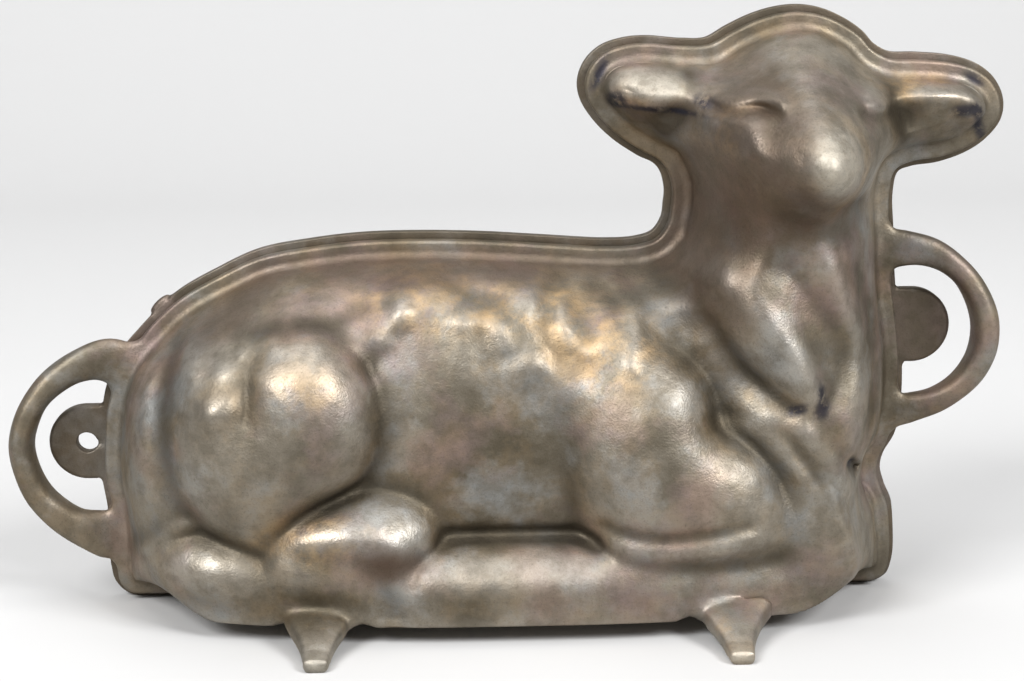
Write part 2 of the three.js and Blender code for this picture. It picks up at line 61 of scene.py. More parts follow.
focal_length_px = 2121
sensor_width = 36.0


def new_object(name, data):
    """An object with the data, linked to the scene."""
    made = bpy.data.objects.new(name, data)
    bpy.context.scene.collection.objects.link(made)
    return made


view_back = Vector((math.sin(view_azimuth) * math.cos(view_elevation),
                    -math.cos(view_azimuth) * math.cos(view_elevation),
                    math.sin(view_elevation)))
level_right = (-view_back).cross(Vector((0, 0, 1))).normalized()
level_up = level_right.cross(-view_back)
view_right = level_right * math.cos(view_roll) + level_up * math.sin(view_roll)
view_up = level_up * math.cos(view_roll) - level_right * math.sin(view_roll)
camera_data = bpy.data.cameras.new("view_camera")
camera_data.sensor_width = sensor_width
camera_data.lens = sensor_width * focal_length_px / picture_width_px
camera = new_object("view_camera", camera_data)
turn = Matrix((view_right, view_up, view_back)).transposed().to_4x4()
camera.matrix_world = Matrix.Translation(view_target + view_back * view_distance) @ turn
bpy.context.scene.camera = camera


# The front half: one grey-iron casting about 4 mm thick, with the lamb's face, wool and folded legs
# in relief, a flat rim all round that meets the back half, a finger loop cast on at each end and two
# feet that point forward from the slab. It is poured in sand, so every edge and root is rounded.
MOULD_LENGTH = 293 * MM
MOULD_HEIGHT = 190.5 * MM
FACE_DEPTH = 75 * MM
FRONT_SLAB_DEPTH = 55 * MM
SLAB_HEIGHT = 27 * MM
WALL = 4 * MM
RIM_WIDTH = 5 * MM
SOLE_RIM_WIDTH = 2 * MM
RIM_THICKNESS = 5 * MM
EDGE_ROUND = 1.1 * MM
BACK_OVERHANG = 2.2 * MM
GROUND_LIFT = BACK_OVERHANG
WALL_SLOPE = math.tan(math.radians(17))
SOLE_SLOPE = math.tan(math.radians(2))
WALL_BLEND_SHARE = 0.62
SOLE_BLEND_SHARE = 0.12
WALL_SOFTNESS = 3 * MM
WALL_SOFT_START = 8 * MM
SOLE_REACH_SHARE = 0.44
SOLE_END_FADE = 38 * MM
SOLE_SHARPNESS = 6
SLAB_MIDDLE_SHARE = 0.003
SLAB_HALF_SHARE = 0.435
SLAB_END_POWER = 2.8
SLAB_END_LIMIT = 0.999
SLAB_TOP_FALL_SHARE = 0.15
SLAB_TOP_POWER = 2.5
SLAB_SOLE_FALL_SHARE = 0.04
SLAB_SOLE_POWER = 6
FORM_BLEND = 2.3 * MM
HEAD_BLEND = 2.6 * MM
LINE_SPREAD = 1.2 * MM
FOOT_RADIUS = 3.2 * MM
SOLE_RADIUS = 0.6 * MM
RELIEF_START = 5 * MM
RELIEF_STEEPNESS = 3
HOLLOW_STEEPNESS = 2
PARTING_EDGE_SHARE = 0.3

# How finely the surfaces are cut up, and how far apart points count as two.
COLUMN_FACTOR = 4
OUTER_ROWS = 78
HOLLOW_ROWS = 18
ROW_CROWDING = 1.25
OUTLINE_STEPS = 60
LINE_STEPS = 5
RAY_STEPS = 25
FILLET_ROWS = 7
SECTION_POINTS = 32
LOOP_SECTIONS = 97
FOOT_SECTIONS = 41
TAB_POINTS = 96
TAB_ROWS = 25
LEAST_ADVANCE = 0.4
MERGE_DISTANCE = MM / 1000
NEW_POINT_DISTANCE = MM / 100
SMOOTHING_STEPS = 30
SMOOTHING_SHARE = 0.6
edge_angles = np.radians((0, 22, 45, 68, 90))

# Places on the spine inside the figure and along the rim, as shares: x of the length from the middle
# of the base, z of the height above the front rim's underside. Each stretch of the rim has the spine
# place that its columns end on, which the next stretch starts from, and its count of columns.
spine_shares = {
    "rump": (-0.341, 0.261), "loin": (-0.246, 0.324), "flank": (-0.143, 0.345),
    "belly": (-0.041, 0.356), "ribs": (0.061, 0.356), "elbow": (0.164, 0.356),
    "breast": (0.273, 0.345), "brisket": (0.362, 0.219), "nape": (0.287, 0.513),
    "throat": (0.307, 0.66), "face": (0.311, 0.807), "crown": (0.312, 0.862),
    "ear_root": (0.205, 0.865), "ear_tip": (0.143, 0.881),
    "far_root": (0.423, 0.839), "far_tip": (0.491, 0.839),
}
rim_stretch_shares = [
    ("rump", 16, [(-0.403, 0), (-0.429, 0.004), (-0.44, 0.023), (-0.444, 0.057), (-0.443, 0.104),
        (-0.445, 0.156), (-0.45, 0.219), (-0.448, 0.293), (-0.441, 0.361), (-0.427, 0.416)]),
    ("loin", 6, [(-0.404, 0.459), (-0.361, 0.522)]),
    ("flank", 6, [(-0.314, 0.563), (-0.269, 0.594)]),
    ("belly", 6, [(-0.212, 0.61), (-0.157, 0.619)]),
    ("ribs", 6, [(-0.092, 0.621), (-0.024, 0.618)]),
    ("elbow", 6, [(0.044, 0.611)]),
    ("breast", 4, [(0.116, 0.604), (0.15, 0.607)]),
    ("nape", 4, [(0.171, 0.618), (0.183, 0.643)]),
    ("throat", 4, [(0.187, 0.673), (0.188, 0.7)]),
    ("face", 3, [(0.184, 0.729)]),
    ("ear_root", 3, [(0.174, 0.752)]),
    ("ear_tip", 4, [(0.151, 0.772), (0.127, 0.797)]),
    ("ear_tip", 9, [(0.107, 0.827), (0.094, 0.858), (0.091, 0.884), (0.097, 0.912), (0.112, 0.935),
        (0.135, 0.947)]),
    ("ear_root", 4, [(0.159, 0.95)]),
    ("face", 3, [(0.198, 0.945)]),
    ("crown", 4, [(0.227, 0.947), (0.251, 0.967)]),
    ("crown", 5, [(0.276, 0.985), (0.3, 0.996), (0.325, 1), (0.348, 0.995)]),
    ("face", 4, [(0.37, 0.981), (0.391, 0.96)]),
    ("far_root", 3, [(0.406, 0.936)]),
    ("far_tip", 4, [(0.427, 0.92), (0.457, 0.918)]),
    ("far_tip", 9, [(0.493, 0.913), (0.52, 0.901), (0.539, 0.879), (0.549, 0.849), (0.548, 0.82),
        (0.534, 0.791)]),
    ("far_root", 4, [(0.514, 0.77), (0.485, 0.754)]),
    ("face", 3, [(0.452, 0.746)]),
    ("throat", 3, [(0.435, 0.732)]),
    ("nape", 4, [(0.429, 0.692), (0.431, 0.629)]),
    ("breast", 4, [(0.435, 0.534)]),
    ("brisket", 4, [(0.444, 0.429), (0.446, 0.33)]),
    ("brisket", 16, [(0.44, 0.269), (0.427, 0.229), (0.424, 0.204), (0.428, 0.177), (0.437, 0.141),
        (0.441, 0.093), (0.441, 0.041), (0.435, 0.011), (0.422, 0.001)]),
    ("breast", 4, [(0.386, 0)]),
    ("elbow", 4, [(0.321, 0)]),
    ("ribs", 6, [(0.225, 0)]),
    ("belly", 6, [(0.109, 0)]),
    ("flank", 6, [(-0.014, 0)]),
    ("loin", 6, [(-0.137, 0)]),
    ("rump", 6, [(-0.266, 0)]),
]

# Forms of the figure, in mm and degrees: middle x from the middle of the base, z above the ground, half
# length, half height, tilt, depth at the top, fall at one half size from the middle, power of that fall.
# The head zone, where the forms run into each other more softly, stops at the tilt.
head_zone = (90, 152, 40, 42, 0)
front_forms = [
    (-8, 60, 122, 52, 0, 44, 15, 2.3),  # trunk
    (-86, 62, 32, 40, 0, 44, 10, 2.4),  # rump
    (94, 66, 27, 32, 0, 49.5, 13, 2.4),  # chest
    (88, 112, 31, 44, 4, 48.5, 13, 2.4),  # neck
    (46, 166, 28, 18, -10, 17, 4.5, 2.4),  # near ear
    (140, 162, 26, 16, 6, 17, 4.5, 2.4),  # far ear
    (-86, 21, 25, 13, -6, 49.5, 13, 2.4),  # ground beside the rump
    (99, 36, 25, 34, 0, 50, 15, 2.4),  # brisket
    (89, 150, 35, 38, 0, 60.5, 38, 2),  # head
]
# Forms with a foot line: the form, its drop at that line, the drop's width and the depth at the line,
# all in mm, and the line as it goes round on the photograph, in px.
front_contours = [
    ((-62, 66, 34, 46, 12, 59, 9, 2.2), 12, 6, 44,  # thigh
      [(246, 385), (254, 368), (270, 356), (290, 350), (310, 349), (330, 354), (350, 367),
       (364, 385), (372, 405), (376, 430), (372, 453), (359, 473), (340, 488), (320, 501),
       (302, 516), (290, 532), (282, 548), (275, 560), (260, 566), (238, 559), (215, 543),
       (193, 519), (177, 491), (184, 457), (212, 430), (237, 411)]),
    ((-89, 60, 22, 40, 4, 54.5, 11, 2.2), 9, 7, 44,  # hip
      [(172, 395), (177, 370), (188, 351), (205, 343), (228, 343), (251, 347), (275, 365),
       (289, 396), (296, 427), (297, 455), (295, 486), (286, 514), (272, 542), (260, 563),
       (242, 558), (225, 545), (208, 528), (193, 510), (181, 488), (173, 462), (170, 430)]),
    ((-52, 29, 38, 17, 6, 57.5, 9, 2), 6.5, 4.6, 50,  # shank
      [(262, 585), (270, 556), (284, 536), (308, 518), (338, 503), (368, 498), (398, 504),
       (421, 520), (430, 541), (426, 562), (413, 582), (404, 600), (396, 625), (340, 632),
       (290, 620)]),
    ((57, 50, 42, 38, -8, 59, 11, 2.4), 10.5, 6.5, 46,  # shoulder
      [(641, 307), (662, 343), (682, 366), (698, 384), (703, 403), (706, 425), (718, 441),
       (742, 451), (762, 464), (778, 482), (793, 502), (804, 522), (804, 545), (790, 563),
       (765, 574), (700, 578), (640, 578), (612, 571), (598, 556), (587, 535), (576, 510),
       (567, 480), (560, 449), (551, 415), (537, 372), (534, 327), (553, 282), (606, 282)]),
    ((84, 90, 13, 32, 38, 54.5, 11, 2.4), 4.6, 4, 50,  # lock
      [(672, 290), (659, 244), (706, 192), (785, 204), (816, 268), (808, 313), (814, 348),
       (819, 375), (824, 400), (813, 417), (797, 413), (783, 399), (768, 379), (748, 358),
       (730, 338), (711, 315)]),
    ((47, 170.5, 18, 9, -8, 24.5, 4, 2.2), 7, 2.8, 17,  # near lobe
      [(606, 88), (615, 73), (635, 63), (660, 63), (680, 73), (696, 88), (699, 100), (682, 107),
       (655, 109), (630, 104), (612, 98)]),
]
# Broad swells and hollows of the head, in mm: half width, height, and the line they run along.
front_swells = [
    (12.5, 12.8, [(95.5, 150.5)]),  # muzzle
    (10.5, 2.4, [(89, 167), (92, 161), (95, 154)]),  # bridge
    (11, 2, [(75, 152)]),  # cheek
    (7, -2.4, [(84, 133), (96, 129.5), (108, 133)]),  # under the chin
]
# Ridges, folds and creases: half width and height in mm, and the line they run along, read off the
# photograph as picture places, in px from its top left corner.
front_folds = [
    # Hip and haunch
    (2, -0.6, [(245, 376), (246, 392), (246, 408), (244, 421)]), (4.6, 1.7, [(214, 413)]),
    (2.4, 0.3, [(228, 401), (232, 410)]), (2.8, 0.6, [(221, 372), (232, 371), (243, 374)]),
    (4, -0.7, [(203, 384), (216, 390), (230, 387)]), (5, 1.6, [(190, 364)]),
    (2.6, 1.6, [(245, 350), (258, 345), (272, 343)]), (4, -0.7, [(236, 332), (256, 334), (272, 330)]),
    # Tail
    (5.5, 1.4, [(160, 345), (147, 375), (140, 410), (137, 450), (138, 490), (142, 525)]),
    (5, -1.5, [(172, 350), (164, 380), (161, 420), (163, 460), (170, 492), (184, 514)]),
    (2.6, 1.6, [(146, 548), (158, 539), (172, 532), (186, 526)]),
    # Folded hind leg and belly
    (4.4, 1.1, [(300, 541), (330, 537), (358, 535), (378, 538), (392, 547), (402, 560), (407, 575)]),
    (5, -2, [(305, 560), (345, 564), (380, 570), (398, 584)]),
    (3, -1.6, [(446, 537), (500, 533), (560, 534), (594, 540)]),
    # Wool of the back
    (4.5, 2, [(462, 268), (485, 270)]), (4.6, -1.8, [(458, 282), (466, 297), (482, 306), (497, 300)]),
    (2.6, -1.2, [(345, 318), (362, 308)]), (5, 1.2, [(355, 342)]),
    (3.2, 1.6, [(402, 310), (394, 325), (386, 340)]), (3.6, -0.9, [(372, 366), (384, 350), (395, 338)]),
    (3.6, 1.5, [(462, 322), (478, 316), (495, 326), (504, 342)]),
    (5, 1.3, [(400, 302), (430, 294), (450, 300)]), (5, 1.9, [(508, 290), (530, 298)]),
    (4.4, -1.5, [(560, 280), (552, 300), (544, 320)]),
    (3.2, 1.3, [(560, 302), (562, 322), (572, 340), (588, 350), (600, 347)]), (4.5, -1.2, [(580, 318)]),
    (4, 0.8, [(608, 312), (610, 335)]), (5, -1.4, [(600, 285), (615, 298), (628, 292)]),
    (4, 1.8, [(632, 312), (632, 335), (628, 360)]), (5, 1.2, [(512, 372), (530, 364)]),
    (6, 1.2, [(540, 362), (566, 386)]), (4, 0.8, [(462, 345), (468, 374)]),
    (5, 0.8, [(290, 300), (330, 305)]), (3, -0.8, [(300, 325), (330, 322)]),
    (3, -0.8, [(545, 345), (556, 360)]),
    # Forearm
    (3, -1.9, [(606, 527), (625, 536), (650, 541), (685, 541), (718, 536), (748, 529)]),
    (5, 1.8, [(618, 553), (650, 556), (690, 553), (725, 548), (748, 540)]),
    # Folds of the breast
    (5, 1.8, [(700, 345), (722, 378), (745, 408), (772, 424), (800, 438)]),
    (3.8, -1.3, [(684, 288), (706, 312), (730, 342), (755, 372), (775, 393), (790, 408)]),
    (4.6, -0.6, [(645, 305), (668, 342), (692, 366), (708, 392), (709, 416), (724, 434), (748, 446),
        (768, 460), (788, 482), (804, 508)]), (3, 1.4, [(735, 425), (758, 434), (782, 455), (800, 478)]),
    (2.4, -1, [(782, 430), (801, 455), (816, 481)]),
    (3, 1.3, [(802, 420), (816, 445), (835, 468), (846, 492)]), (1.8, -3, [(851, 465), (858, 472)]),
    # Lock and neck
    (6, 1.5, [(716, 272), (745, 281), (775, 300), (790, 320), (801, 345), (809, 370), (812, 388)]),
    (3.5, -1.4, [(722, 305), (750, 335), (775, 365)]),
    (4.2, -1.7, [(790, 270), (815, 305), (838, 340), (845, 372), (836, 395)]),
    (3.8, 1.2, [(822, 250), (843, 295), (858, 345), (861, 395), (852, 440)]),
    (3.4, -1.1, [(858, 270), (870, 320), (875, 370), (872, 420)]), (4, 1.4, [(722, 262), (718, 284)]),
    # Near eye
    (2.4, 1.7, [(724, 105), (738, 99), (752, 95.5), (766, 97), (779, 103)]),
    (2, -1.8, [(717, 109), (732, 112), (748, 112), (762, 110), (774, 113)]),
    (1.4, 0.9, [(732, 122), (745, 119.5), (757, 117.5), (765, 118.5)]),
    (3.6, 1.8, [(748, 128), (751, 138), (755, 150)]), (3, -0.9, [(771, 115), (774, 128), (768, 146)]),
    (2.8, -0.5, [(722, 116), (730, 130), (738, 144)]), (6, -1, [(775, 80), (792, 100), (790, 125)]),
    # Far eye, nose and mouth
    (3.4, 2.4, [(873, 100), (881, 104)]), (2.4, -1.7, [(866, 114), (878, 118), (890, 113)]),
    (3, -0.8, [(893, 100), (894, 122)]), (1.5, -0.7, [(802, 162), (806, 158)]),
    (2.6, -1.2, [(806, 199), (824, 208), (845, 209), (863, 200)]),
    (3, -0.6, [(700, 99), (711, 104), (720, 108)]),
    # Near ear
    (2.4, -1, [(601, 97), (598, 78), (611, 64), (640, 57), (680, 59)]),
    (3, 1.1, [(605, 117), (628, 137), (662, 152)]), (5, -1.8, [(640, 128), (668, 126), (690, 121)]),
    # Far ear
    (2.9, 1.8, [(903, 98), (930, 93), (958, 91), (980, 98), (989, 115), (984, 134), (965, 148)]),
    (6.5, -3.2, [(912, 122), (935, 127), (955, 130)]), (3, 0.8, [(968, 108), (976, 119)]),
    # Hind hoof
    (3, -1.2, [(417, 556), (414, 574)]),
]

# Finger loops, root to root: outer edge x, z, then the finger gap's edge x, z.
left_handle_shares = [
    (-0.39, 0.446, -0.426, 0.348), (-0.444, 0.457, -0.451, 0.384), (-0.477, 0.44, -0.471, 0.384),
    (-0.511, 0.406, -0.493, 0.367), (-0.534, 0.364, -0.51, 0.343), (-0.548, 0.319, -0.521, 0.309),
    (-0.553, 0.277, -0.526, 0.275), (-0.549, 0.23, -0.522, 0.238), (-0.536, 0.175, -0.511, 0.201),
    (-0.51, 0.124, -0.493, 0.172), (-0.477, 0.085, -0.476, 0.156), (-0.452, 0.062, -0.457, 0.154),
    (-0.428, 0.051, -0.432, 0.167),
]
right_handle_shares = [
    (0.413, 0.642, 0.418, 0.545), (0.447, 0.629, 0.454, 0.567), (0.487, 0.611, 0.481, 0.562),
    (0.52, 0.572, 0.503, 0.54), (0.54, 0.531, 0.516, 0.508), (0.552, 0.485, 0.524, 0.469),
    (0.554, 0.44, 0.524, 0.435), (0.549, 0.402, 0.518, 0.403), (0.534, 0.359, 0.503, 0.371),
    (0.5, 0.314, 0.481, 0.349), (0.466, 0.29, 0.459, 0.342), (0.428, 0.267, 0.43, 0.345),
]
HANDLE_DEPTH = 15 * MM
HANDLE_ROOT_DEPTH = 5.4 * MM
HANDLE_POWER = 2.4
HANDLE_SWELL = 1.3
FOOT_WIDTH = 7.8 * MM
FOOT_HEIGHT = 4 * MM
FOOT_ROOT_WIDTH = 25 * MM
FOOT_ROOT_HEIGHT = 9 * MM
FOOT_ROOT_RISE = 4.5 * MM
FOOT_SOLE = 6 * MM
FOOT_POWER = 3.5
FOOT_END_SHARE = 0.06
FOOT_END_TAPER = 0.1
foot_shares = (-0.205, 0.239)
FRONT_ROOT_REACH = 3.4 * MM


def place(shares):
    """Places from share pairs: x = share * length, z = ground lift + share * height."""
    shares = np.asarray(shares, float)
    return np.stack([middle_x + shares[..., 0] * MOULD_LENGTH,
                     GROUND_LIFT + shares[..., 1] * MOULD_HEIGHT], -1)


def eased(share):
    """Smoothstep: 3 share^2 - 2 share^3."""
    return share * share * (3 - 2 * share)


def spline(points, at, closed):
    """Centripetal Catmull-Rom: cubic Hermite spans whose end slopes weigh the neighbouring chords by
    the square roots of their lengths. An open one carries its end chords straight on."""
    if not closed:
        points = np.vstack([2 * points[0] - points[1], points, 2 * points[-1] - points[-2]])
        at = at + 1
    count = len(points)
    first = np.floor(at).astype(int)
    if not closed:
        first = np.minimum(first, count - 3)
    part = (at - first)[:, None]
    p0, p1, p2, p3 = (points[(first + step) % count] for step in (-1, 0, 1, 2))
    d0, d1, d2 = (np.sqrt(np.linalg.norm(b - a, axis=1, keepdims=True)) + 1e-9
                  for a, b in ((p0, p1), (p1, p2), (p2, p3)))
    slope1 = ((p1 - p0) / d0 - (p2 - p0) / (d0 + d1) + (p2 - p1) / d1) * d1
    slope2 = ((p2 - p1) / d1 - (p3 - p1) / (d1 + d2) + (p3 - p2) / d2) * d1
    return ((2 * part**3 - 3 * part**2 + 1) * p1 + (part**3 - 2 * part**2 + part) * slope1
            + (3 * part**2 - 2 * part**3) * p2 + (part**3 - part**2) * slope2)


def figure_columns():
    """Columns of the figure: even steps along the outline spline, each with its inward unit normal
    (the tangent turned a quarter), its spine place (an even step between two of them), the unit lean
    from one to the other, advance = lean . normal, how far that lean goes in, and sole, which is 1
    under the base and falls to 0 towards its ends and round them."""
    points = place([point for stretch in rim_stretch_shares for point in stretch[2]])
    outline, inward, spine = [], [], []
    first, start = 0, rim_stretch_shares[-1][0]
    for end, columns, stretch_points in rim_stretch_shares:
        last = first + len(stretch_points)
        count = columns * COLUMN_FACTOR
        fine = spline(points, np.linspace(first, last, (last - first) * OUTLINE_STEPS + 1), True)
        run = np.concatenate([[0], np.cumsum(np.linalg.norm(np.diff(fine, axis=0), axis=1))])
        goal = run[-1] * np.arange(count) / count
        spot = np.stack([np.interp(goal, run, fine[:, axis]) for axis in (0, 1)], -1)
        step = np.searchsorted(run, goal, side="right") - 1
        along = fine[step + 1] - fine[step]
        along /= np.linalg.norm(along, axis=1, keepdims=True)
        outline.append(spot)
        inward.append(np.stack([along[:, 1], -along[:, 0]], -1))
        share = np.arange(count) / count
        a, b, share = (start, end, share) if start < end else (end, start, 1 - share)
        a, b = place(spine_shares[a]), place(spine_shares[b])
        spine.append(a + (b - a) * np.round(share * count)[:, None] / count)
        first, start = last, end
    outline, inward, spine = (np.concatenate(part) for part in (outline, inward, spine))
    outline[:, 1] = np.maximum(outline[:, 1], GROUND_LIFT)
    lean = spine - outline
    lean /= np.linalg.norm(lean, axis=1, keepdims=True)
    advance = np.maximum((lean * inward).sum(1), LEAST_ADVANCE)
    from_end = SOLE_REACH_SHARE * MOULD_LENGTH - np.abs(outline[:, 0] - middle_x)
    sole = (np.maximum(inward[:, 1], 0) ** SOLE_SHARPNESS * eased(np.clip(from_end / SOLE_END_FADE, 0, 1))
            * (outline[:, 1] < SLAB_HEIGHT / 2))
    return outline, spine, lean, advance, sole


outline, spine, lean, advance, sole = figure_columns()
side_slope = WALL_SLOPE + (SOLE_SLOPE - WALL_SLOPE) * sole
blend_share = WALL_BLEND_SHARE + (SOLE_BLEND_SHARE - WALL_BLEND_SHARE) * sole
rim_inset = RIM_WIDTH + (SOLE_RIM_WIDTH - RIM_WIDTH) * sole
mouth_inset = rim_inset + WALL - RIM_THICKNESS * side_slope


def square_of_ellipse(x, z, form):
    """(across / half length)^2 + (up / half height)^2 in axes turned by the tilt."""
    turn_angle = math.radians(form[4])
    cosine, sine = math.cos(turn_angle), math.sin(turn_angle)
    aside, above = x - middle_x - form[0] * MM, z - form[1] * MM
    across = (aside * cosine + above * sine) / (form[2] * MM)
    up = (above * cosine - aside * sine) / (form[3] * MM)
    return across * across + up * up


def form_depth(x, z, form):
    """top - fall * q^power, where q is the distance from the middle in half sizes."""
    return MM * (form[5] - form[6] * square_of_ellipse(x, z, form) ** (form[7] / 2))


def strokes_from_mm(strokes):
    """Strokes with their places in the frame: x from the middle of the base, z above the ground."""
    return [(width, height, np.array(line, float) * MM + (middle_x, 0)) for width, height, line in strokes]


def places_in_picture(points_px, depth):
    """Where the camera's rays through picture places come to a depth in front of the parting face:
    eye + ray t, with t from the y of that depth."""
    px, py = np.array(points_px, float).T
    ray = (np.outer(px - picture_width_px / 2, view_right)
           - np.outer(py - picture_height_px / 2, view_up) - focal_length_px * np.array(view_back))
    eye = np.array(view_target + view_back * view_distance)
    run = (parting_y - PARTING_GAP / 2 - depth - eye[1]) / ray[:, 1]
    return (eye + ray * run[:, None])[:, [0, 2]]


def smooth_line(places):
    """A spline through the places, with a few steps from each to the next."""
    spans = len(places) - 1
    if spans == 0:
        return places
    return spline(places, np.linspace(0, spans, spans * LINE_STEPS + 1), False)


def distance_to_line(x, z, line):
    """The least distance to the line's segments: |p - a - t (b - a)|, t cut off at 0 and 1."""
    if len(line) == 1:
        return np.hypot(x - line[0, 0], z - line[0, 1])
    a, along = line[:-1], np.diff(line, axis=0)
    off_x, off_z = x[:, None] - a[:, 0], z[:, None] - a[:, 1]
    square = (along**2).sum(1) + 1e-18
    t = np.clip((off_x * along[:, 0] + off_z * along[:, 1]) / square, 0, 1)
    return np.hypot(off_x - t * along[:, 0], off_z - t * along[:, 1]).min(1)


def is_inside(x, z, line):
    """Even-odd rule: a ray to the right crosses the closed line an odd number of times."""
    a, b = line[:-1], line[1:]
    crosses = (a[:, 1] > z[:, None]) != (b[:, 1] > z[:, None])
    rise = np.where(b[:, 1] == a[:, 1], 1, b[:, 1] - a[:, 1])
    return (crosses & (x[:, None] < a[:, 0] + (z[:, None] - a[:, 1]) * (b[:, 0] - a[:, 0]) / rise)
            ).sum(1) % 2 == 1


def slab_form(x, z, depth):
    """depth * (1 - |x|^p)^(1/p), less fall * edge^q with its own q above the slab's middle and below."""
    middle = middle_x + SLAB_MIDDLE_SHARE * MOULD_LENGTH
    end = np.minimum(np.abs(x - middle) / (SLAB_HALF_SHARE * MOULD_LENGTH), SLAB_END_LIMIT)
    edge = np.abs(z - GROUND_LIFT - SLAB_HEIGHT / 2) / (SLAB_HEIGHT / 2)
    fall = np.where(z > GROUND_LIFT + SLAB_HEIGHT / 2, SLAB_TOP_FALL_SHARE * edge**SLAB_TOP_POWER,
                    SLAB_SOLE_FALL_SHARE * edge**SLAB_SOLE_POWER)
    return depth * (1 - end**SLAB_END_POWER) ** (1 / SLAB_END_POWER) - FACE_DEPTH * fall


def figure_maker(forms, contours, slab_depth):
    """Depth over the parting plane: k ln(sum exp(form / k)). The blend k swells round the head by
    exp(-q^4). A contoured form drops by H exp(-d/w) at d inside its line and by H (1 - d/w) outside."""
    outlines = [(form, drop * MM, width * MM, smooth_line(places_in_picture(line + line[:1], depth * MM)))
                for form, drop, width, depth, line in contours]

    def figure(x, z):
        depths = [form_depth(x, z, form) for form in forms]
        for form, drop, width, line in outlines:
            inside = distance_to_line(x, z, line) * np.where(is_inside(x, z, line), 1, -1)
            inside = (inside + LINE_SPREAD) / width
            edge = np.where(inside > 0, np.exp(-np.maximum(inside, 0)), 1 - inside)
            depths.append(form_depth(x, z, form) - drop * edge)
        depths.append(slab_form(x, z, slab_depth))
        blend = FORM_BLEND + HEAD_BLEND * np.exp(-square_of_ellipse(x, z, head_zone) ** 2)
        greatest = np.max(depths, axis=0)
        return greatest + blend * np.log(sum(np.exp((depth - greatest) / blend) for depth in depths))

    return figure


def relief_maker(strokes):
    """The sum of height * exp(-(distance to the line / half width)^2) over the strokes."""
    lines = [(width * MM, height * MM, smooth_line(places)) for width, height, places in strokes]

    def relief(x, z):
        return sum(height * np.exp(-(distance_to_line(x, z, line) / width) ** 2)
                   for width, height, line in lines)

    return relief


def wall_run(x, z, foot_inset):
    """How far a place lies in from the wall's foot. Near it that is the distance to the outline less
    the inset. Farther in it is -k ln(mean of exp(-distance / k)) over the outline, read back through
    the same measure of a straight line, which rounds the crease midway between two walls."""
    edge = np.vstack([outline, outline[:1]])
    plain = distance_to_line(x, z, edge)
    k = WALL_SOFTNESS
    step_mm, reach_mm, half_length_mm = 0.25, 80, 60
    depth = np.arange(0, reach_mm, step_mm) * MM
    along = np.arange(-half_length_mm, half_length_mm, step_mm) * MM
    straight = -k * np.log(np.exp(-np.hypot(depth[:, None], along) / k).sum(1) * step_mm * MM)
    weight = np.linalg.norm(np.diff(edge, axis=0), axis=1)
    away = np.hypot(x[:, None] - outline[:, 0], z[:, None] - outline[:, 1])
    soft = np.interp(-k * np.log((weight * np.exp(-away / k)).sum(1)), straight, depth)
    soft_share = eased(np.clip((plain - foot_inset) / WALL_SOFT_START, 0, 1))
    return np.maximum(plain + (soft - plain) * soft_share - foot_inset, 0)


def cast_depth(x, z, foot, figure, relief=None):
    """The smaller of the side wall, foot + run / slope, and the figure, rounded by a parabola where
    they differ by less than the blend. The relief stands square to that surface, so it is
    taken times sqrt(1 + steepness^2), where the steepness is the wall's share / slope."""
    inset, base, slope, blend_share = foot
    run = wall_run(x, z, inset)
    side = base + run / slope
    full = figure(x, z)
    blend = blend_share * full
    share = np.clip(0.5 + 0.5 * (full - side) / blend, 0, 1)
    depth = full * (1 - share) + side * share - blend * share * (1 - share)
    if relief:
        steepness = np.minimum(share / slope, RELIEF_STEEPNESS)
        depth = depth + relief(x, z) * np.sqrt(1 + steepness**2) * np.clip(run / RELIEF_START, 0, 1)
    return np.maximum(depth, base)


def strokes_on_casting(strokes, figure, relief):
    """Strokes with their picture places taken along the camera's rays to the casting's plain wall and
    figure: at each step the depth goes half way to the cast depth at the place that it gives."""
    points_px = [point for stroke in strokes for point in stroke[2]]
    wall_angle = math.pi / 2 - math.atan(WALL_SLOPE)
    foot = (RIM_WIDTH + FOOT_RADIUS * (math.sin(wall_angle) - math.tan(wall_angle / 2)),
            RIM_THICKNESS + FOOT_RADIUS * (1 - math.cos(wall_angle)), WALL_SLOPE, WALL_BLEND_SHARE)
    depth = np.full(len(points_px), FRONT_SLAB_DEPTH)
    for _ in range(RAY_STEPS):
        x, z = places_in_picture(points_px, depth).T
        depth = (depth + cast_depth(x, z, foot, figure, relief)) / 2
    ends = np.cumsum([len(stroke[2]) for stroke in strokes])[:-1]
    places = np.split(places_in_picture(points_px, depth), ends)
    return [(width, height, line) for (width, height, _), line in zip(strokes, places)]


def row_of(spots, depth):
    """Mesh points from places x, z and their depth behind or in front of the parting face."""
    return np.stack([spots[:, 0], np.broadcast_to(depth, len(spots)), spots[:, 1]], -1)


def ring(inset, depth):
    """One closed row at an inset from the outline, measured square to it along each lean."""
    return row_of(outline + lean * (np.broadcast_to(inset, advance.shape) / advance)[:, None], depth)


def skin_rows(foot_inset, foot_depth, row_count, figure, relief=None):
    """Rows from the foot of the side wall to the spine, at the cast depth. Each column's own inset,
    foot depth, slope and blend go over into the plain wall's by share^2, so all meet at one depth."""
    foot_depth = np.broadcast_to(foot_depth, advance.shape)
    foot = ring(foot_inset, foot_depth)[:, [0, 2]]
    plain = np.argmin(sole)
    rows = []
    for row in range(1, row_count + 1):
        share = (row / row_count) ** ROW_CROWDING
        spot = foot + (spine - foot) * share
        start = [value + (value[plain] - value) * share**2
                 for value in (foot_inset, foot_depth, side_slope, blend_share)]
        rows.append(row_of(spot, cast_depth(spot[:, 0], spot[:, 1], start, figure, relief)))
    return rows


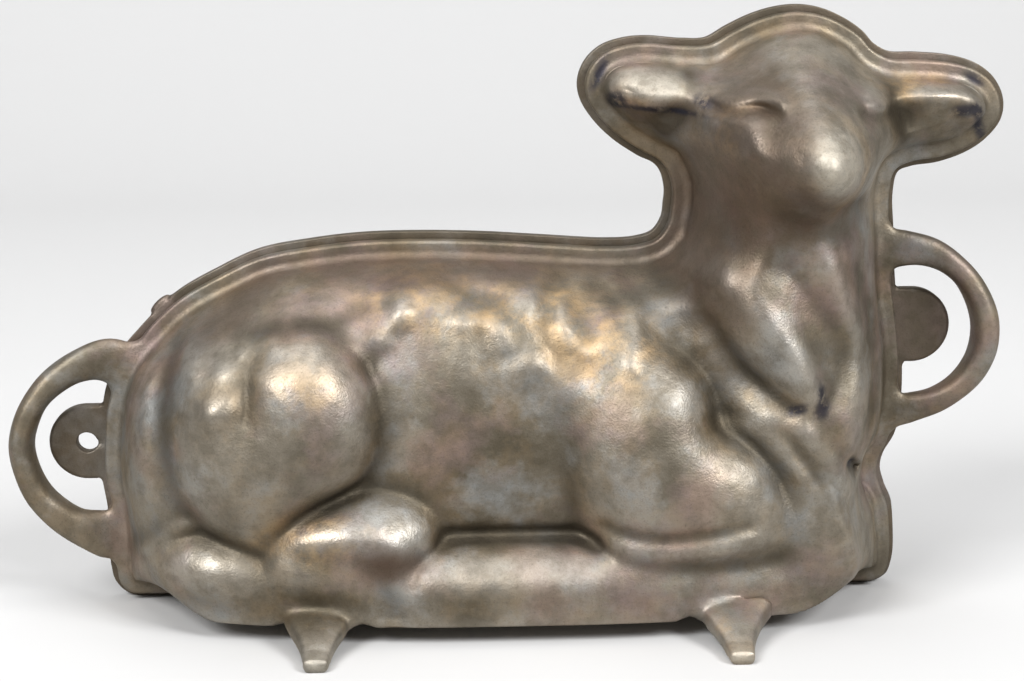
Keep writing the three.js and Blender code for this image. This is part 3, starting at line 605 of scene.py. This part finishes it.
def shell_rows(figure, relief, overhang):
    """The whole casting as one closed run of rows: hollow, mouth, parting face, rim, a fillet of the
    foot radius R that turns by the wall's angle a, R (sin, 1 - cos), then wall and figure."""
    def surface(x, z):
        return figure(x, z) + relief(x, z)

    def thinned(x, z):
        probe = WALL / 8
        slope_x = (surface(x + probe, z) - surface(x - probe, z)) / (2 * probe)
        slope_z = (surface(x, z + probe) - surface(x, z - probe)) / (2 * probe)
        return surface(x, z) - WALL * np.sqrt(1 + np.minimum(slope_x**2 + slope_z**2, HOLLOW_STEEPNESS))

    small = PARTING_EDGE_SHARE * EDGE_ROUND
    corner = [(1 - math.cos(angle), 1 - math.sin(angle)) for angle in edge_angles]
    rim = [ring(a * small - overhang, b * small) for a, b in corner[::-1]]
    rim += [ring(a * EDGE_ROUND - overhang, RIM_THICKNESS - b * EDGE_ROUND) for a, b in corner]
    radius = FOOT_RADIUS + (SOLE_RADIUS - FOOT_RADIUS) * sole
    wall_angle = np.pi / 2 - np.arctan(side_slope)
    start = rim_inset - radius * np.tan(wall_angle / 2)
    fillet = [ring(start + radius * np.sin(wall_angle * part),
                   RIM_THICKNESS + radius * (1 - np.cos(wall_angle * part)))
              for part in np.linspace(0, 1, FILLET_ROWS)]
    inner = skin_rows(mouth_inset, 0.0, HOLLOW_ROWS, thinned)
    outer = skin_rows(start + radius * np.sin(wall_angle),
                      RIM_THICKNESS + radius * (1 - np.cos(wall_angle)), OUTER_ROWS, figure, relief)
    return inner[::-1] + [ring(mouth_inset, 0.0)] + rim + fillet + outer


def mesh_from_rows(name, rows, side):
    """A closed mesh of quads through rows that each go once round. Depth runs to the given side of
    the parting plane, and the columns that meet on the spine are merged."""
    rows = np.array(rows)
    row_count, width = rows.shape[:2]
    points = rows.reshape(-1, 3).copy()
    points[:, 1] = parting_y + side * (PARTING_GAP / 2 + points[:, 1])
    grid = np.arange(row_count * width).reshape(row_count, width)
    a, b = grid[:-1], np.roll(grid[:-1], -1, 1)
    c, d = grid[1:], np.roll(grid[1:], -1, 1)
    quads = np.stack([a, b, d, c], -1).reshape(-1, 4)
    mesh = bpy.data.meshes.new(name)
    mesh.from_pydata(points, [], quads.tolist())
    work = bmesh.new()
    work.from_mesh(mesh)
    bmesh.ops.remove_doubles(work, verts=work.verts, dist=MERGE_DISTANCE)
    bmesh.ops.dissolve_degenerate(work, edges=work.edges, dist=MERGE_DISTANCE)
    bmesh.ops.recalc_face_normals(work, faces=work.faces)
    work.to_mesh(mesh)
    work.free()
    return new_object(name, mesh)


def capped(rings):
    """Rings closed at both ends by rows that lie on their middles."""
    rings = np.array(rings)
    ends = [np.repeat(rings[end].mean(0)[None], rings.shape[1], 0) for end in (0, -1)]
    return np.concatenate([ends[0][None], rings, ends[1][None]])


def round_section(half_wide, half_high, power):
    """A superellipse: |across / half width|^power + |up / half height|^power = 1."""
    angle = 2 * np.pi * np.arange(SECTION_POINTS) / SECTION_POINTS
    cosine, sine = np.cos(angle), np.sin(angle)
    return (half_wide * np.sign(cosine) * np.abs(cosine) ** (2 / power),
            half_high * np.sign(sine) * np.abs(sine) ** (2 / power))


def handle_rows(station_shares):
    """A superellipse section carried root to root between two open splines, the loop's outer edge and
    the finger gap's edge. Its depth swells by sin(pi * share)^swell towards the middle."""
    stations = np.array(station_shares)
    at = np.linspace(0, len(stations) - 1, LOOP_SECTIONS)
    outer = spline(place(stations[:, :2]), at, False)
    gap = spline(place(stations[:, 2:]), at, False)
    rings = []
    for out, inn, share in zip(outer, gap, np.linspace(0, 1, LOOP_SECTIONS)):
        swell = math.sin(math.pi * share) ** HANDLE_SWELL
        depth = HANDLE_ROOT_DEPTH + (HANDLE_DEPTH - HANDLE_ROOT_DEPTH) * swell
        across = (out - inn) / np.linalg.norm(out - inn)
        wide, high = round_section(np.linalg.norm(out - inn) / 2, depth / 2, HANDLE_POWER)
        rings.append(row_of((out + inn) / 2 + across * wide[:, None], depth / 2 + high))
    return capped(rings)


def foot_rows(x_share):
    """A tapering superellipse section carried forward from inside the slab: its width falls with the
    square of the way left, its underside comes down to the ground where the sole starts, and its
    last stretch tapers, which rounds the worn end."""
    middle = middle_x + x_share * MOULD_LENGTH
    root = FRONT_SLAB_DEPTH - WALL
    reach = FACE_DEPTH - root
    sole_start = 1 - FOOT_SOLE / reach
    rings = []
    for along in np.linspace(0, 1, FOOT_SECTIONS):
        low = max(FOOT_ROOT_RISE * (1 - along / sole_start), 0)
        wide = FOOT_WIDTH + (FOOT_ROOT_WIDTH - FOOT_WIDTH) * (1 - along) ** 2
        high = FOOT_HEIGHT + (FOOT_ROOT_HEIGHT - FOOT_HEIGHT) * (1 - along)
        shrink = 1 - FOOT_END_TAPER * max(along - 1 + FOOT_END_SHARE, 0) / FOOT_END_SHARE
        x, z = round_section(wide / 2 * shrink, high / 2, FOOT_POWER)
        rings.append(row_of(np.stack([middle + x, low + high / 2 + z], -1), root + reach * along))
    return capped(rings)


def nearest_distance(spots, others):
    """How far each spot lies from the nearest of the others."""
    tree = KDTree(len(others))
    for index, spot in enumerate(others):
        tree.insert(spot, index)
    tree.balance()
    return np.array([tree.find(spot)[2] for spot in spots])


def join_casting(body, additions, reach):
    """Joins the additions to the body as one closed mesh. Around each new line a point moves to its
    neighbours' mean by exp(-(distance / reach)^2), time after time: a cast fillet."""
    known = np.concatenate([np.array([v.co for v in piece.data.vertices]) for piece in [body] + additions])
    for addition in additions:
        modifier = body.modifiers.new("join", "BOOLEAN")
        modifier.operation = "UNION"
        modifier.solver = "MANIFOLD"
        modifier.object = addition
    evaluated = body.evaluated_get(bpy.context.evaluated_depsgraph_get())
    mesh = bpy.data.meshes.new_from_object(evaluated)
    body.modifiers.clear()
    mesh.materials.clear()
    body.data = mesh
    for addition in additions:
        bpy.data.objects.remove(addition)
    count = len(mesh.vertices)
    points = np.empty(count * 3)
    mesh.vertices.foreach_get("co", points)
    points = points.reshape(-1, 3)
    is_new = nearest_distance(points, known) > NEW_POINT_DISTANCE
    weight = np.exp(-(nearest_distance(points, points[is_new]) / reach) ** 2)[:, None]
    edges = np.empty(len(mesh.edges) * 2, int)
    mesh.edges.foreach_get("vertices", edges)
    a, b = edges.reshape(-1, 2).T
    degree = np.bincount(a, minlength=count) + np.bincount(b, minlength=count)
    for _ in range(SMOOTHING_STEPS):
        total = np.stack([np.bincount(a, points[b, axis], count)
                          + np.bincount(b, points[a, axis], count) for axis in range(3)], -1)
        points = points + weight * SMOOTHING_SHARE * (total / degree[:, None] - points)
    mesh.vertices.foreach_set("co", points.ravel())
    mesh.polygons.foreach_set("use_smooth", np.ones(len(mesh.polygons), bool))
    mesh.update()


front_figure = figure_maker(front_forms, front_contours, FRONT_SLAB_DEPTH)
broad_strokes = strokes_from_mm(front_swells)
front_relief = relief_maker(broad_strokes + strokes_on_casting(front_folds, front_figure,
                                                               relief_maker(broad_strokes)))
front = mesh_from_rows("front_casting", shell_rows(front_figure, front_relief, 0), -1)
front_additions = [mesh_from_rows("left_loop", handle_rows(left_handle_shares), -1),
                   mesh_from_rows("right_loop", handle_rows(right_handle_shares), -1)]
front_additions += [mesh_from_rows("foot", foot_rows(share), -1) for share in foot_shares]
join_casting(front, front_additions, FRONT_ROOT_REACH)


def store_masks(piece, figure, relief, finish_and_light_areas):
    """Point attributes for the finish, painted shade and painted highlight included. relief: the figure's
    depth less its Gaussian mean on a 1 mm grid, in mm, only off the rim. The others: the sum of exp(-q^4)
    over their ellipses."""
    blur_mm, greatest_mm, rim_mm, fade_mm = 4, 3, 8, 6
    left, right, low, high = -0.17, 0.17, -0.005, 0.2
    mesh = piece.data
    points = np.empty(len(mesh.vertices) * 3)
    mesh.vertices.foreach_get("co", points)
    x, y, z = points.reshape(-1, 3).T
    depth = np.abs(y - parting_y)
    grid_x, grid_z = np.arange(left, right, MM), np.arange(low, high, MM)
    field = np.array([figure(np.full(len(grid_z), at), grid_z) + relief(np.full(len(grid_z), at), grid_z)
                      for at in grid_x])
    half = 2 * blur_mm
    kernel = np.exp(-(np.arange(-half, half + 1) / blur_mm) ** 2 / 2)
    kernel /= kernel.sum()
    mean = field
    for _ in range(2):
        padded = np.pad(mean, ((half, half), (0, 0)), mode="edge")
        mean = sum(share * padded[k:k + len(mean)] for k, share in enumerate(kernel)).T
    risen = (field - mean) / MM
    u = np.clip((x - grid_x[0]) / MM, 0, len(grid_x) - 1.001)
    v = np.clip((z - grid_z[0]) / MM, 0, len(grid_z) - 1.001)
    i, j = u.astype(int), v.astype(int)
    u, v = u - i, v - j
    value = ((risen[i, j] * (1 - u) + risen[i + 1, j] * u) * (1 - v)
             + (risen[i, j + 1] * (1 - u) + risen[i + 1, j + 1] * u) * v)
    off_rim = np.clip((depth / MM - rim_mm) / fade_mm, 0, 1)
    masks = {"relief": np.clip(value, -greatest_mm, greatest_mm) * off_rim}
    for name, ellipses in finish_and_light_areas.items():
        masks[name] = np.clip(sum(np.exp(-square_of_ellipse(x, z, ellipse) ** 2)
                                  for ellipse in ellipses), 0, 1) * (depth > WALL)
    for name, values in masks.items():
        attribute = mesh.attributes.new(name, "FLOAT", "POINT")
        attribute.data.foreach_set("value", values.astype(np.float32))


# Where the finish differs and where painted shade and painted highlight lie: ellipses as middle x, z, half
# length, half height, in mm, and tilt.
front_finish_and_light_areas = {
    "stain": [(31, 174, 1.8, 7, -25), (36, 166.5, 3, 3, 0), (50, 163.6, 13, 1.1, -3),
              (62, 166.8, 3, 2.4, 0), (153, 157.5, 2, 8, 22), (147, 162, 5, 2.4, 0),
              (152, 171, 4, 1.8, -35), (97, 73.5, 3, 3.4, 0), (89.5, 73.4, 3.6, 1.9, 25),
              (96.6, 79, 1.6, 3, 10), (109, 53, 1.6, 2, 0)],
    "gold": [(97, 150, 13, 14, 0), (-24, 106, 22, 10, 0), (-63, 85, 12, 8, 0), (8, 104, 16, 8, 0),
             (30, 92, 18, 12, 0), (-60, 36, 20, 8, 8), (70, 160, 10, 10, 0), (38, 168, 8, 5, 0),
             (132, 169, 14, 4, 0), (-60, 4, 9, 6, 0), (70, 4, 9, 6, 0)],
    # Painted shade with a reddish tone: under the head, on the neck and face, and along the upper wall.
    "ruddy_shade": [(66, 122, 14, 28, 0), (80, 140, 26, 18, 0), (77, 156, 19, 24, 0), (-38, 27, 10, 6, 0),
              (52, 118, 8, 6, 0), (-20, 113, 66, 5, 0), (-84, 104, 20, 6, 38)],
    # Rubbed wear on the feet, and a painted highlight on the muzzle and the near ear's lobe.
    "worn_and_highlit": [(97, 152, 9, 11, 0), (-60, 2.5, 5, 3, 0), (70, 2.5, 5, 3, 0), (48, 171, 12, 4, -8)],
}
store_masks(front, front_figure, front_relief, front_finish_and_light_areas)
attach(front, "front")
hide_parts("front_half")


# Seasoned grey iron: a sand-cast grain under baked-on oil. It is a warm brown grey with gold and
# blue tints where the oil has burned thin. It is darker in the hollows with grime and painted shade,
# and brighter where it rubs, with painted highlight on the ridges and the muzzle; painted shade with
# a reddish tone lies under the head, on the neck and face and along the upper wall.
COOL_GREY = (0.36, 0.375, 0.38)
VIOLET_BROWN = (0.34, 0.255, 0.235)
RUBBED_METAL_AND_HIGHLIGHT = (0.66, 0.61, 0.5)
HOLLOW_GRIME_AND_SHADE = (0.06, 0.05, 0.035)
RIDGE_WEAR_AND_SHEEN = (0.58, 0.54, 0.48)
RUDDY_OIL_AND_SHADE = (0.165, 0.115, 0.085)
PORE_GRIME = (0.05, 0.042, 0.03)
OVEN_STAIN = (0.025, 0.028, 0.05)
# Noise of the finish: scale per metre, detail, roughness.
noise_patterns = {
    "mottle": (21, 6, 0.65), "cool": (42, 5, 0.6), "violet": (31, 5, 0.6), "gold": (58, 6, 0.65),
    "rubbing_and_highlight": (300, 5, 0.7), "ruddy_shade": (40, 4, 0.6), "speckle": (130, 4, 0.65),
    "pores": (1500, 3, 0.75), "stain": (240, 4, 0.7), "polish": (90, 5, 0.65),
    "sand": (1500, 2, 0.6), "grit": (420, 2, 0.5), "waves": (110, 3, 0.45),
}


def iron_skin_group():
    """Node group: from a base, a dark and a bright colour it gives the finish's colour, its roughness
    and the height of its grain, out of object-space noise and the piece's own point masks."""
    group = bpy.data.node_groups.new("iron_skin", "ShaderNodeTree")
    for name in ("Base", "Dark", "Bright"):
        group.interface.new_socket(name=name, in_out="INPUT", socket_type="NodeSocketColor")
    group.interface.new_socket(name="Tint", in_out="INPUT", socket_type="NodeSocketFloat")
    for name, kind in (("Colour", "Color"), ("Roughness", "Float"), ("Height", "Float")):
        group.interface.new_socket(name=name, in_out="OUTPUT", socket_type="NodeSocket" + kind)
    nodes, links = group.nodes, group.links
    given, result = nodes.new("NodeGroupInput"), nodes.new("NodeGroupOutput")
    coordinates = nodes.new("ShaderNodeTexCoord")

    def feed(socket, value):
        if isinstance(value, bpy.types.NodeSocket):
            links.new(value, socket)
        else:
            socket.default_value = value if isinstance(value, (int, float)) else (*value, 1)

    def noise(pattern):
        node = nodes.new("ShaderNodeTexNoise")
        for name, value in zip(("Scale", "Detail", "Roughness"), noise_patterns[pattern]):
            node.inputs[name].default_value = value
        links.new(coordinates.outputs["Object"], node.inputs["Vector"])
        return node.outputs["Fac"]

    def stepped(value, low, high, to_low=0.0, to_high=1.0):
        node = nodes.new("ShaderNodeMapRange")
        limits = {"From Min": low, "From Max": high, "To Min": to_low, "To Max": to_high}
        for name, number in limits.items():
            node.inputs[name].default_value = number
        links.new(value, node.inputs["Value"])
        return node.outputs["Result"]

    def maths(operation, a, b):
        node = nodes.new("ShaderNodeMath")
        node.operation = operation
        feed(node.inputs[0], a)
        feed(node.inputs[1], b)
        return node.outputs[0]

    def mixed(factor, a, b, blend="MIX"):
        node = nodes.new("ShaderNodeMix")
        node.data_type = "RGBA"
        node.blend_type = blend
        feed(node.inputs["Factor"], factor)
        feed(node.inputs["A"], a)
        feed(node.inputs["B"], b)
        return node.outputs["Result"]

    def mask(name):
        node = nodes.new("ShaderNodeAttribute")
        node.attribute_name = name
        return node.outputs["Fac"]

    relief, worn_and_highlit, tint = mask("relief"), mask("worn_and_highlit"), given.outputs["Tint"]
    colour = mixed(stepped(noise("mottle"), 0.37, 0.56), given.outputs["Dark"], given.outputs["Base"])
    cool = stepped(noise("cool"), 0.5, 0.64, 0.0, 0.7)
    colour = mixed(maths("MULTIPLY", cool, tint), colour, COOL_GREY)
    violet = stepped(noise("violet"), 0.5, 0.64, 0.0, 0.8)
    colour = mixed(maths("MULTIPLY", violet, tint), colour, VIOLET_BROWN)
    gold = maths("MULTIPLY", stepped(noise("gold"), 0.44, 0.6), stepped(mask("gold"), 0.0, 1.0, 0.2, 0.9))
    colour = mixed(maths("MULTIPLY", gold, tint), colour, given.outputs["Bright"])
    # Rubbed wear on the feet and high points, with a painted highlight on the muzzle and the near ear's
    # lobe.
    rubbed_and_highlit = maths("MULTIPLY", worn_and_highlit, stepped(noise("rubbing_and_highlight"), 0.3, 0.6, 0.35, 0.95))
    colour = mixed(rubbed_and_highlit, colour, RUBBED_METAL_AND_HIGHLIGHT)
    # Painted shade in the hollows, with some oil grime: darker where the surface lies below its
    # surroundings.
    colour = mixed(stepped(relief, 0.1, -1.6, 0.0, 0.85), colour, HOLLOW_GRIME_AND_SHADE)
    # Rubbed wear and painted highlight: lighter where the surface stands above its surroundings.
    colour = mixed(stepped(relief, 0.1, 1.3, 0.0, 0.5), colour, RIDGE_WEAR_AND_SHEEN)
    # Painted shade with a reddish tone under the head, on the neck and face and along the upper wall.
    ruddy_shade = maths("MULTIPLY", mask("ruddy_shade"), stepped(noise("ruddy_shade"), 0.3, 0.7, 0.5, 0.95))
    ruddy_shade = maths("MULTIPLY", ruddy_shade, stepped(worn_and_highlit, 0.0, 0.8, 1.0, 0.0))
    colour = mixed(maths("MULTIPLY", ruddy_shade, tint), colour, RUDDY_OIL_AND_SHADE)
    colour = mixed(stepped(noise("speckle"), 0.44, 0.64, 0.0, 0.42), colour, given.outputs["Dark"])
    pores = stepped(noise("pores"), 0.54, 0.7, 0.0, 0.26)
    colour = mixed(pores, colour, PORE_GRIME)
    stain = maths("MULTIPLY", mask("stain"), stepped(noise("stain"), 0.34, 0.5, 0.0, 0.85))
    colour = mixed(stain, colour, OVEN_STAIN)
    links.new(colour, result.inputs["Colour"])
    rough = maths("ADD", stepped(noise("polish"), 0.3, 0.7, 0.45, 0.6), maths("MULTIPLY", pores, 0.35))
    rough = maths("SUBTRACT", rough, stepped(relief, 0.0, 1.5, 0.0, 0.07))
    rough = maths("ADD", rough, maths("MULTIPLY", worn_and_highlit, 0.13))
    links.new(rough, result.inputs["Roughness"])
    grain = maths("ADD", maths("MULTIPLY", noise("sand"), 0.55), maths("MULTIPLY", noise("grit"), 0.5))
    links.new(maths("ADD", grain, maths("MULTIPLY", noise("waves"), 2.2)), result.inputs["Height"])
    return group


iron_skin = iron_skin_group()


def new_material(name):
    """A material, its nodes, its links and its shader."""
    material = bpy.data.materials.new(name)
    material.use_nodes = True
    nodes = material.node_tree.nodes
    return material, nodes, material.node_tree.links, nodes["Principled BSDF"]


def seasoned_iron(name, base, dark, bright, tint):
    """The casting's material: the iron skin's colour, roughness and grain on a metallic shader."""
    material, nodes, links, shader = new_material(name)
    skin = nodes.new("ShaderNodeGroup")
    skin.node_tree = iron_skin
    for socket, value in (("Base", base), ("Dark", dark), ("Bright", bright)):
        skin.inputs[socket].default_value = (*value, 1)
    skin.inputs["Tint"].default_value = tint
    links.new(skin.outputs["Colour"], shader.inputs["Base Color"])
    links.new(skin.outputs["Roughness"], shader.inputs["Roughness"])
    shader.inputs["Metallic"].default_value = 0.85
    bump = nodes.new("ShaderNodeBump")
    bump.inputs["Strength"].default_value = 0.8
    bump.inputs["Distance"].default_value = 0.24 * MM
    links.new(skin.outputs["Height"], bump.inputs["Height"])
    links.new(bump.outputs["Normal"], shader.inputs["Normal"])
    return material


front.data.materials.append(seasoned_iron("front_iron", (0.345, 0.307, 0.248), (0.15, 0.127, 0.09),
                                          (0.60, 0.42, 0.23), 1.0))

# The back half: the second casting, which closes the mould from behind. Its rim stands out a little
# past the front half's, and it carries a flat tab at each end, one of them with a hanging hole.
BACK_SLAB_DEPTH = 48 * MM
TAB_RADIUS = 12.5 * MM
TAB_THICKNESS = 5 * MM
HANG_HOLE_DIAMETER = 7 * MM
LUG_LENGTH = 10 * MM
LUG_REACH = 2.6 * MM
LUG_TURN = math.radians(43)
LUG_POWER = 2.2
LUG_SECTIONS = 9
LUG_THROUGH_SHARES = (0.08, 0.92)
LUG_SWELL_SHARES = (0.12, 0.88)
TAB_ROOT_SHARE = 0.1
TAB_ROOT_REACH = 0.7 * MM
TAB_FLAT_SHARE = 0.96
hang_tab = ((-0.366, 0.269), -31 * MM, HANG_HOLE_DIAMETER / 2)
plain_tab = ((0.366, 0.457), 28.5 * MM, 0)
lug_shares = (-0.381, 0.506)
# The far side's forms, in the units of the front's, and its folds, all in mm. Both are chosen.
back_forms = [
    (-8, 60, 122, 52, 0, 42, 15, 2.3),  # trunk
    (-86, 62, 32, 40, 0, 40, 12, 2.4),  # rump
    (-60, 64, 29, 31, -8, 50, 11, 3.6),  # thigh
    (-42, 33, 31, 10, 4, 48, 8, 2.4),  # hind foot
    (64, 66, 25, 32, 6, 49, 10, 3.2),  # shoulder
    (68, 33, 33, 10, 0, 48.5, 8, 2.4),  # forearm
    (90, 112, 31, 46, 6, 42, 14, 2.4),  # neck
    (89, 164, 30, 30, 0, 48, 14, 2.2),  # back of the head
    (46, 166, 28, 18, -10, 16, 4.5, 2.4),  # near ear
    (140, 162, 26, 16, 6, 16, 4.5, 2.4),  # far ear
]
back_strokes = [
    (4, -2.4, [(-50, 98), (-40, 92), (-31, 85)]), (5, -2, [(-86, 96), (-86, 74)]),
    (6, 1.6, [(-64, 106), (-56, 106)]), (5, 1.6, [(-34, 104), (-26, 105)]),
    (4, -2, [(-15, 102), (-9, 90)]), (5, 1.7, [(2, 106), (10, 106)]), (6, 1.4, [(18, 92)]),
    (3.5, -2, [(21, 112), (27, 100)]), (5, -2, [(35, 98), (42, 86)]), (6, 1.8, [(54, 120), (70, 96)]),
    (4.5, 1.8, [(88, 146), (96, 110)]), (4, -1.8, [(103, 130), (105, 96)]),
    (5, 1.6, [(76, 150), (84, 154)]), (5, 1.6, [(94, 160), (102, 156)]),
    (6, 1.4, [(86, 176), (94, 176)]),
]


def tab_rows(root_shares, reach, hole_radius):
    """A plate with a round end as rows between its edge line and a ring round the middle of that end:
    ring + (edge - ring) t. The edge is drawn in by the edge round at both faces."""
    middle = place(root_shares) + (reach, 0)
    angle = 2 * np.pi * np.arange(TAB_POINTS) / TAB_POINTS
    direction = np.stack([np.cos(angle), np.sin(angle)], -1)
    back_run = abs(reach) * (1 - TAB_ROOT_SHARE)
    towards_rim = -math.copysign(1, reach) * direction[:, 0]
    hit_end = np.where(towards_rim > 1e-6, back_run / np.maximum(towards_rim, 1e-6), np.inf)
    hit_side = TAB_RADIUS / np.maximum(np.abs(direction[:, 1]), 1e-6)
    edge_reach = np.where(towards_rim > 0, np.minimum(hit_end, hit_side), TAB_RADIUS)
    faces = []
    for level, sign in ((0, 1), (TAB_THICKNESS, -1)):
        flat = [(share, EDGE_ROUND, level) for share in np.linspace(0, TAB_FLAT_SHARE, TAB_ROWS)]
        edge = [(1, EDGE_ROUND * (1 - math.sin(turn)), level + sign * EDGE_ROUND * (1 - math.cos(turn)))
                for turn in edge_angles]
        faces.append(flat + edge)
    rings = []
    for share, inset, depth in faces[0] + faces[1][::-1]:
        reach_now = hole_radius + (edge_reach - inset - hole_radius) * share
        rings.append(row_of(middle + direction * reach_now[:, None], depth))
    if hole_radius > 0:
        rings.append(rings[0])
    return np.array(rings)


def lug_rows():
    """The stub of a casting gate: a low superellipse bar along the rim's edge, across its thickness."""
    along, off = round_section(LUG_LENGTH / 2, LUG_REACH, LUG_POWER)
    x = along * math.cos(LUG_TURN) - off * math.sin(LUG_TURN)
    z = along * math.sin(LUG_TURN) + off * math.cos(LUG_TURN)
    depths = np.linspace(*LUG_THROUGH_SHARES, LUG_SECTIONS) * RIM_THICKNESS
    swell = np.sqrt(np.sin(np.linspace(*LUG_SWELL_SHARES, LUG_SECTIONS) * np.pi))
    return capped([row_of(place(lug_shares) + np.stack([x, z], -1) * grow, depth)
                   for depth, grow in zip(depths, swell)])


back_figure = figure_maker(back_forms, [], BACK_SLAB_DEPTH)
back_relief = relief_maker(strokes_from_mm(back_strokes))
back = mesh_from_rows("back_casting", shell_rows(back_figure, back_relief, BACK_OVERHANG), 1)
join_casting(back, [mesh_from_rows("hang_tab", tab_rows(*hang_tab), 1),
                    mesh_from_rows("plain_tab", tab_rows(*plain_tab), 1),
                    mesh_from_rows("lug", lug_rows(), 1)], TAB_ROOT_REACH)
# The back's masks: gold tint, painted shade with a reddish tone, and rubbed wear with painted highlight.
back_finish_and_light_areas = {"gold": [(-20, 90, 30, 10, 0)], "ruddy_shade": [(70, 120, 14, 20, 0)],
               "worn_and_highlit": [(-60, 70, 12, 12, 0)]}
store_masks(back, back_figure, back_relief, back_finish_and_light_areas)
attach(back, "back")
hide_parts("back_half")
back.data.materials.append(seasoned_iron("back_iron", (0.22, 0.18, 0.135), (0.14, 0.12, 0.09),
                                         (0.36, 0.27, 0.17), 0.5))

# A plain pale floor that curves up into a backdrop, and soft studio light from above and in front.
# Reflections see a dimmer floor, as the dark room round the real table makes it.
PALE_PAPER = (0.68, 0.68, 0.68, 1)
DIM_PAPER = (0.34, 0.33, 0.31, 1)
STUDIO_AIR = (0.82, 0.82, 0.83, 1)
STUDIO_AIR_STRENGTH = 0.24
FLOOR_HALF_WIDTH = 3.0
FLOOR_FRONT = -2.0
SWEEP_START = 0.9
SWEEP_RADIUS = 0.6
SWEEP_TOP = 2.5
sweep_angle = np.linspace(0, np.pi / 2, 25)
sweep_y = np.concatenate([[FLOOR_FRONT], SWEEP_START + SWEEP_RADIUS * np.sin(sweep_angle),
                          [SWEEP_START + SWEEP_RADIUS]])
sweep_z = np.concatenate([[0], SWEEP_RADIUS * (1 - np.cos(sweep_angle)), [SWEEP_TOP]])
sweep = np.array([[(x, y, z) for x in (-FLOOR_HALF_WIDTH, FLOOR_HALF_WIDTH)]
                  for y, z in zip(sweep_y, sweep_z)])
floor_mesh = bpy.data.meshes.new("floor")
floor_mesh.from_pydata(sweep.reshape(-1, 3), [],
                       [(2 * i, 2 * i + 1, 2 * i + 3, 2 * i + 2) for i in range(len(sweep) - 1)])
floor = new_object("floor", floor_mesh)
floor_mesh.polygons.foreach_set("use_smooth", np.ones(len(floor_mesh.polygons), bool))
floor_material, floor_nodes, floor_links, floor_shader = new_material("pale_paper")
floor_shader.inputs["Roughness"].default_value = 0.9
floor_shader.inputs["Specular IOR Level"].default_value = 0.2
ray_kind = floor_nodes.new("ShaderNodeLightPath")
floor_colour = floor_nodes.new("ShaderNodeMix")
floor_colour.data_type = "RGBA"
floor_colour.inputs["A"].default_value = PALE_PAPER
floor_colour.inputs["B"].default_value = DIM_PAPER
floor_links.new(ray_kind.outputs["Is Glossy Ray"], floor_colour.inputs["Factor"])
floor_links.new(floor_colour.outputs["Result"], floor_shader.inputs["Base Color"])
floor_mesh.materials.append(floor_material)


def soft_lamp(name, spot, target, size, power):
    """A square area lamp at a spot, turned towards a target."""
    data = bpy.data.lights.new(name, "AREA")
    data.size = size
    data.energy = power
    lamp = new_object(name, data)
    lamp.location = spot
    lamp.rotation_euler = (Vector(target) - Vector(spot)).to_track_quat("-Z", "Y").to_euler()


for lamp_values in (("left_light", (-1.28, -1.5, 1.72), (0, 0, 0.1), 1.05, 50),
                    ("right_light", (1.42, -1.35, 1.57), (0.05, 0, 0.1), 0.9, 45),
                    ("top_light", (-0.1, 0.1, 2.2), (0, 0, 0.1), 1.7, 18)):
    soft_lamp(*lamp_values)
world = bpy.data.worlds.new("studio")
world.use_nodes = True
world.node_tree.nodes["Background"].inputs["Color"].default_value = STUDIO_AIR
world.node_tree.nodes["Background"].inputs["Strength"].default_value = STUDIO_AIR_STRENGTH
bpy.context.scene.world = world
bpy.context.scene.view_settings.view_transform = "Standard"
